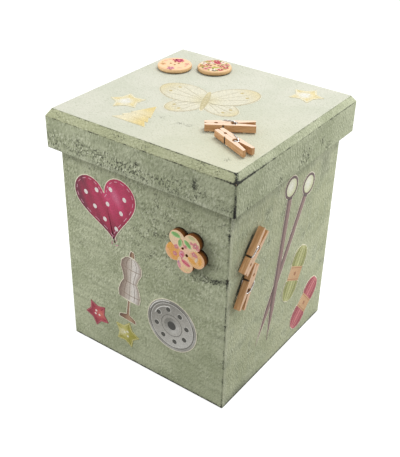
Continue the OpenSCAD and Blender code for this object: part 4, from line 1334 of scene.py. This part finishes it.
def dress_trims():
    """Paper for the cut-outs, wood for the buttons, and glue."""
    prints = [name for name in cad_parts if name.endswith("_print")]
    gilt = ("lid_left_star_print", "lid_right_star_print", "lid_tree_print")
    dress(cut_paper("white_paper", "#d3ccb4", "#ece6d4"), *prints)
    dress(cut_paper("red_paper", "#8f3042", "#a8404f"), "front_red_star_print")
    dress(cut_paper("olive_paper", "#b8ae62", "#cfc684"), "front_green_star_print")
    dress(cut_paper("gilt_paper", "#cfc49a", "#dcd6bc"), *gilt)
    dress(clear_glue(), "lid_peg_glue", "wall_peg_glue")
    for material, button, *look in BUTTON_LOOKS:
        dress(button_wood(material, *look), button)


# Camera, light and floor

IMAGE_LONG_SIDE = 457
FOCAL_PIXELS = 791.42
EYE = (225.09, -322.49, 319.76)
AZIMUTH = 35.094
ELEVATION = 32.480
ROLL = 1.431
FLOOR_HALF = 2500
FLOOR_Z = -0.05
# Glow that makes the lit floor white to the camera, and the light of the world
FLOOR_GLOW = 0.86
WORLD_LIGHT = 0.78


def photo_camera():
    a, e, r = (math.radians(d) for d in (AZIMUTH, ELEVATION, ROLL))
    back = Vector((math.sin(a) * math.cos(e), -math.cos(a) * math.cos(e), math.sin(e)))
    level = Vector((math.cos(a), math.sin(a), 0))
    rise = back.cross(level)
    right = level * math.cos(r) + rise * math.sin(r)
    up = rise * math.cos(r) - level * math.sin(r)
    data = bpy.data.cameras.new("camera")
    data.lens = FOCAL_PIXELS / IMAGE_LONG_SIDE * data.sensor_width
    camera = bpy.data.objects.new("camera", data)
    axes = Matrix((right, up, back)).transposed().to_4x4()
    camera.matrix_world = Matrix.Translation(Vector(EYE) * MM) @ axes
    bpy.context.scene.collection.objects.link(camera)
    bpy.context.scene.camera = camera


def soft_light(name, direction, distance, size, level):
    """A square lamp that lights a surface facing it by this level, where 1 shows a colour as written."""
    data = bpy.data.lights.new(name, "AREA")
    data.size = size * MM
    data.energy = level * math.pi ** 2 * (distance * MM) ** 2
    lamp = bpy.data.objects.new(name, data)
    towards = Vector(direction).normalized()
    lamp.location = (towards * distance + Vector((0, 0, BODY_TOP / 2))) * MM
    lamp.rotation_euler = towards.to_track_quat("Z", "Y").to_euler()
    lamp.visible_camera = False
    bpy.context.scene.collection.objects.link(lamp)


def white_floor():
    """A white floor that keeps the object's shadow."""
    ends = ((-1, -1), (1, -1), (1, 1), (-1, 1))
    mesh = bpy.data.meshes.new("floor")
    points = np.array([(x * FLOOR_HALF, y * FLOOR_HALF, FLOOR_Z) for x, y in ends]) * MM
    mesh.from_pydata(points.tolist(), [], [[0, 1, 2, 3]])
    floor = bpy.data.objects.new("floor", mesh)
    bpy.context.scene.collection.objects.link(floor)
    white = Finish("white_floor", {"Base Color": "#909090", "Roughness": 1.0, "Specular IOR Level": 0.0,
                                   "Emission Color": "#ffffff"})
    white.join(white.shader.inputs["Emission Strength"], white.times(white.seen_directly(), FLOOR_GLOW))
    mesh.materials.append(white.material)


def studio_world():
    """Even light from all round, which looks white."""
    world = bpy.data.worlds.new("studio")
    world.use_nodes = True
    bpy.context.scene.world = world
    sky = Nodes(world.node_tree)
    background = sky.tree.nodes["Background"].inputs
    sky.join(background["Color"], "#ffffff")
    sky.join(background["Strength"], sky.scaled(sky.seen_directly(), 1 - WORLD_LIGHT, WORLD_LIGHT))


PAINT = sponged_paint()
INK = printed_ink()

body_paint()
lid_paint()
dress_boards()
dress_trims()
dress_pegs()

heart_print()
form_print()
bobbin_print()
star_print("red_star_ink", FRONT_STAR_R, RED_STAR_PLACE, "box", RED_STAR)
star_print("green_star_ink", FRONT_STAR_R, GREEN_STAR_PLACE, "box", GREEN_STAR)
star_print("left_gold_star_ink", LID_STAR_R, LEFT_STAR_PLACE, "lid", GOLD_STAR)
star_print("right_gold_star_ink", LID_STAR_R, RIGHT_STAR_PLACE, "lid", GOLD_STAR)
needle_print()
skein_print("green_skein_ink", GREEN_SKEIN_PLACE, "#727638", "#9b9d58", "#c3c48a")
skein_print("red_skein_ink", RED_SKEIN_PLACE, "#7c2630", "#a8424c", "#cf7a7c")
butterfly_print()
tree_print()
left_button_print()
right_button_print()
flower_button_print()

photo_camera()
studio_world()
white_floor()
soft_light("key", (0.15, 0.35, 0.92), 1000, 500, 0.66)
soft_light("left", (-0.78, -0.58, 0.22), 345, 160, 0.46)
soft_light("right", (0.62, 0.76, 0.14), 345, 150, 0.46)
bpy.context.scene.view_settings.view_transform = "Standard"
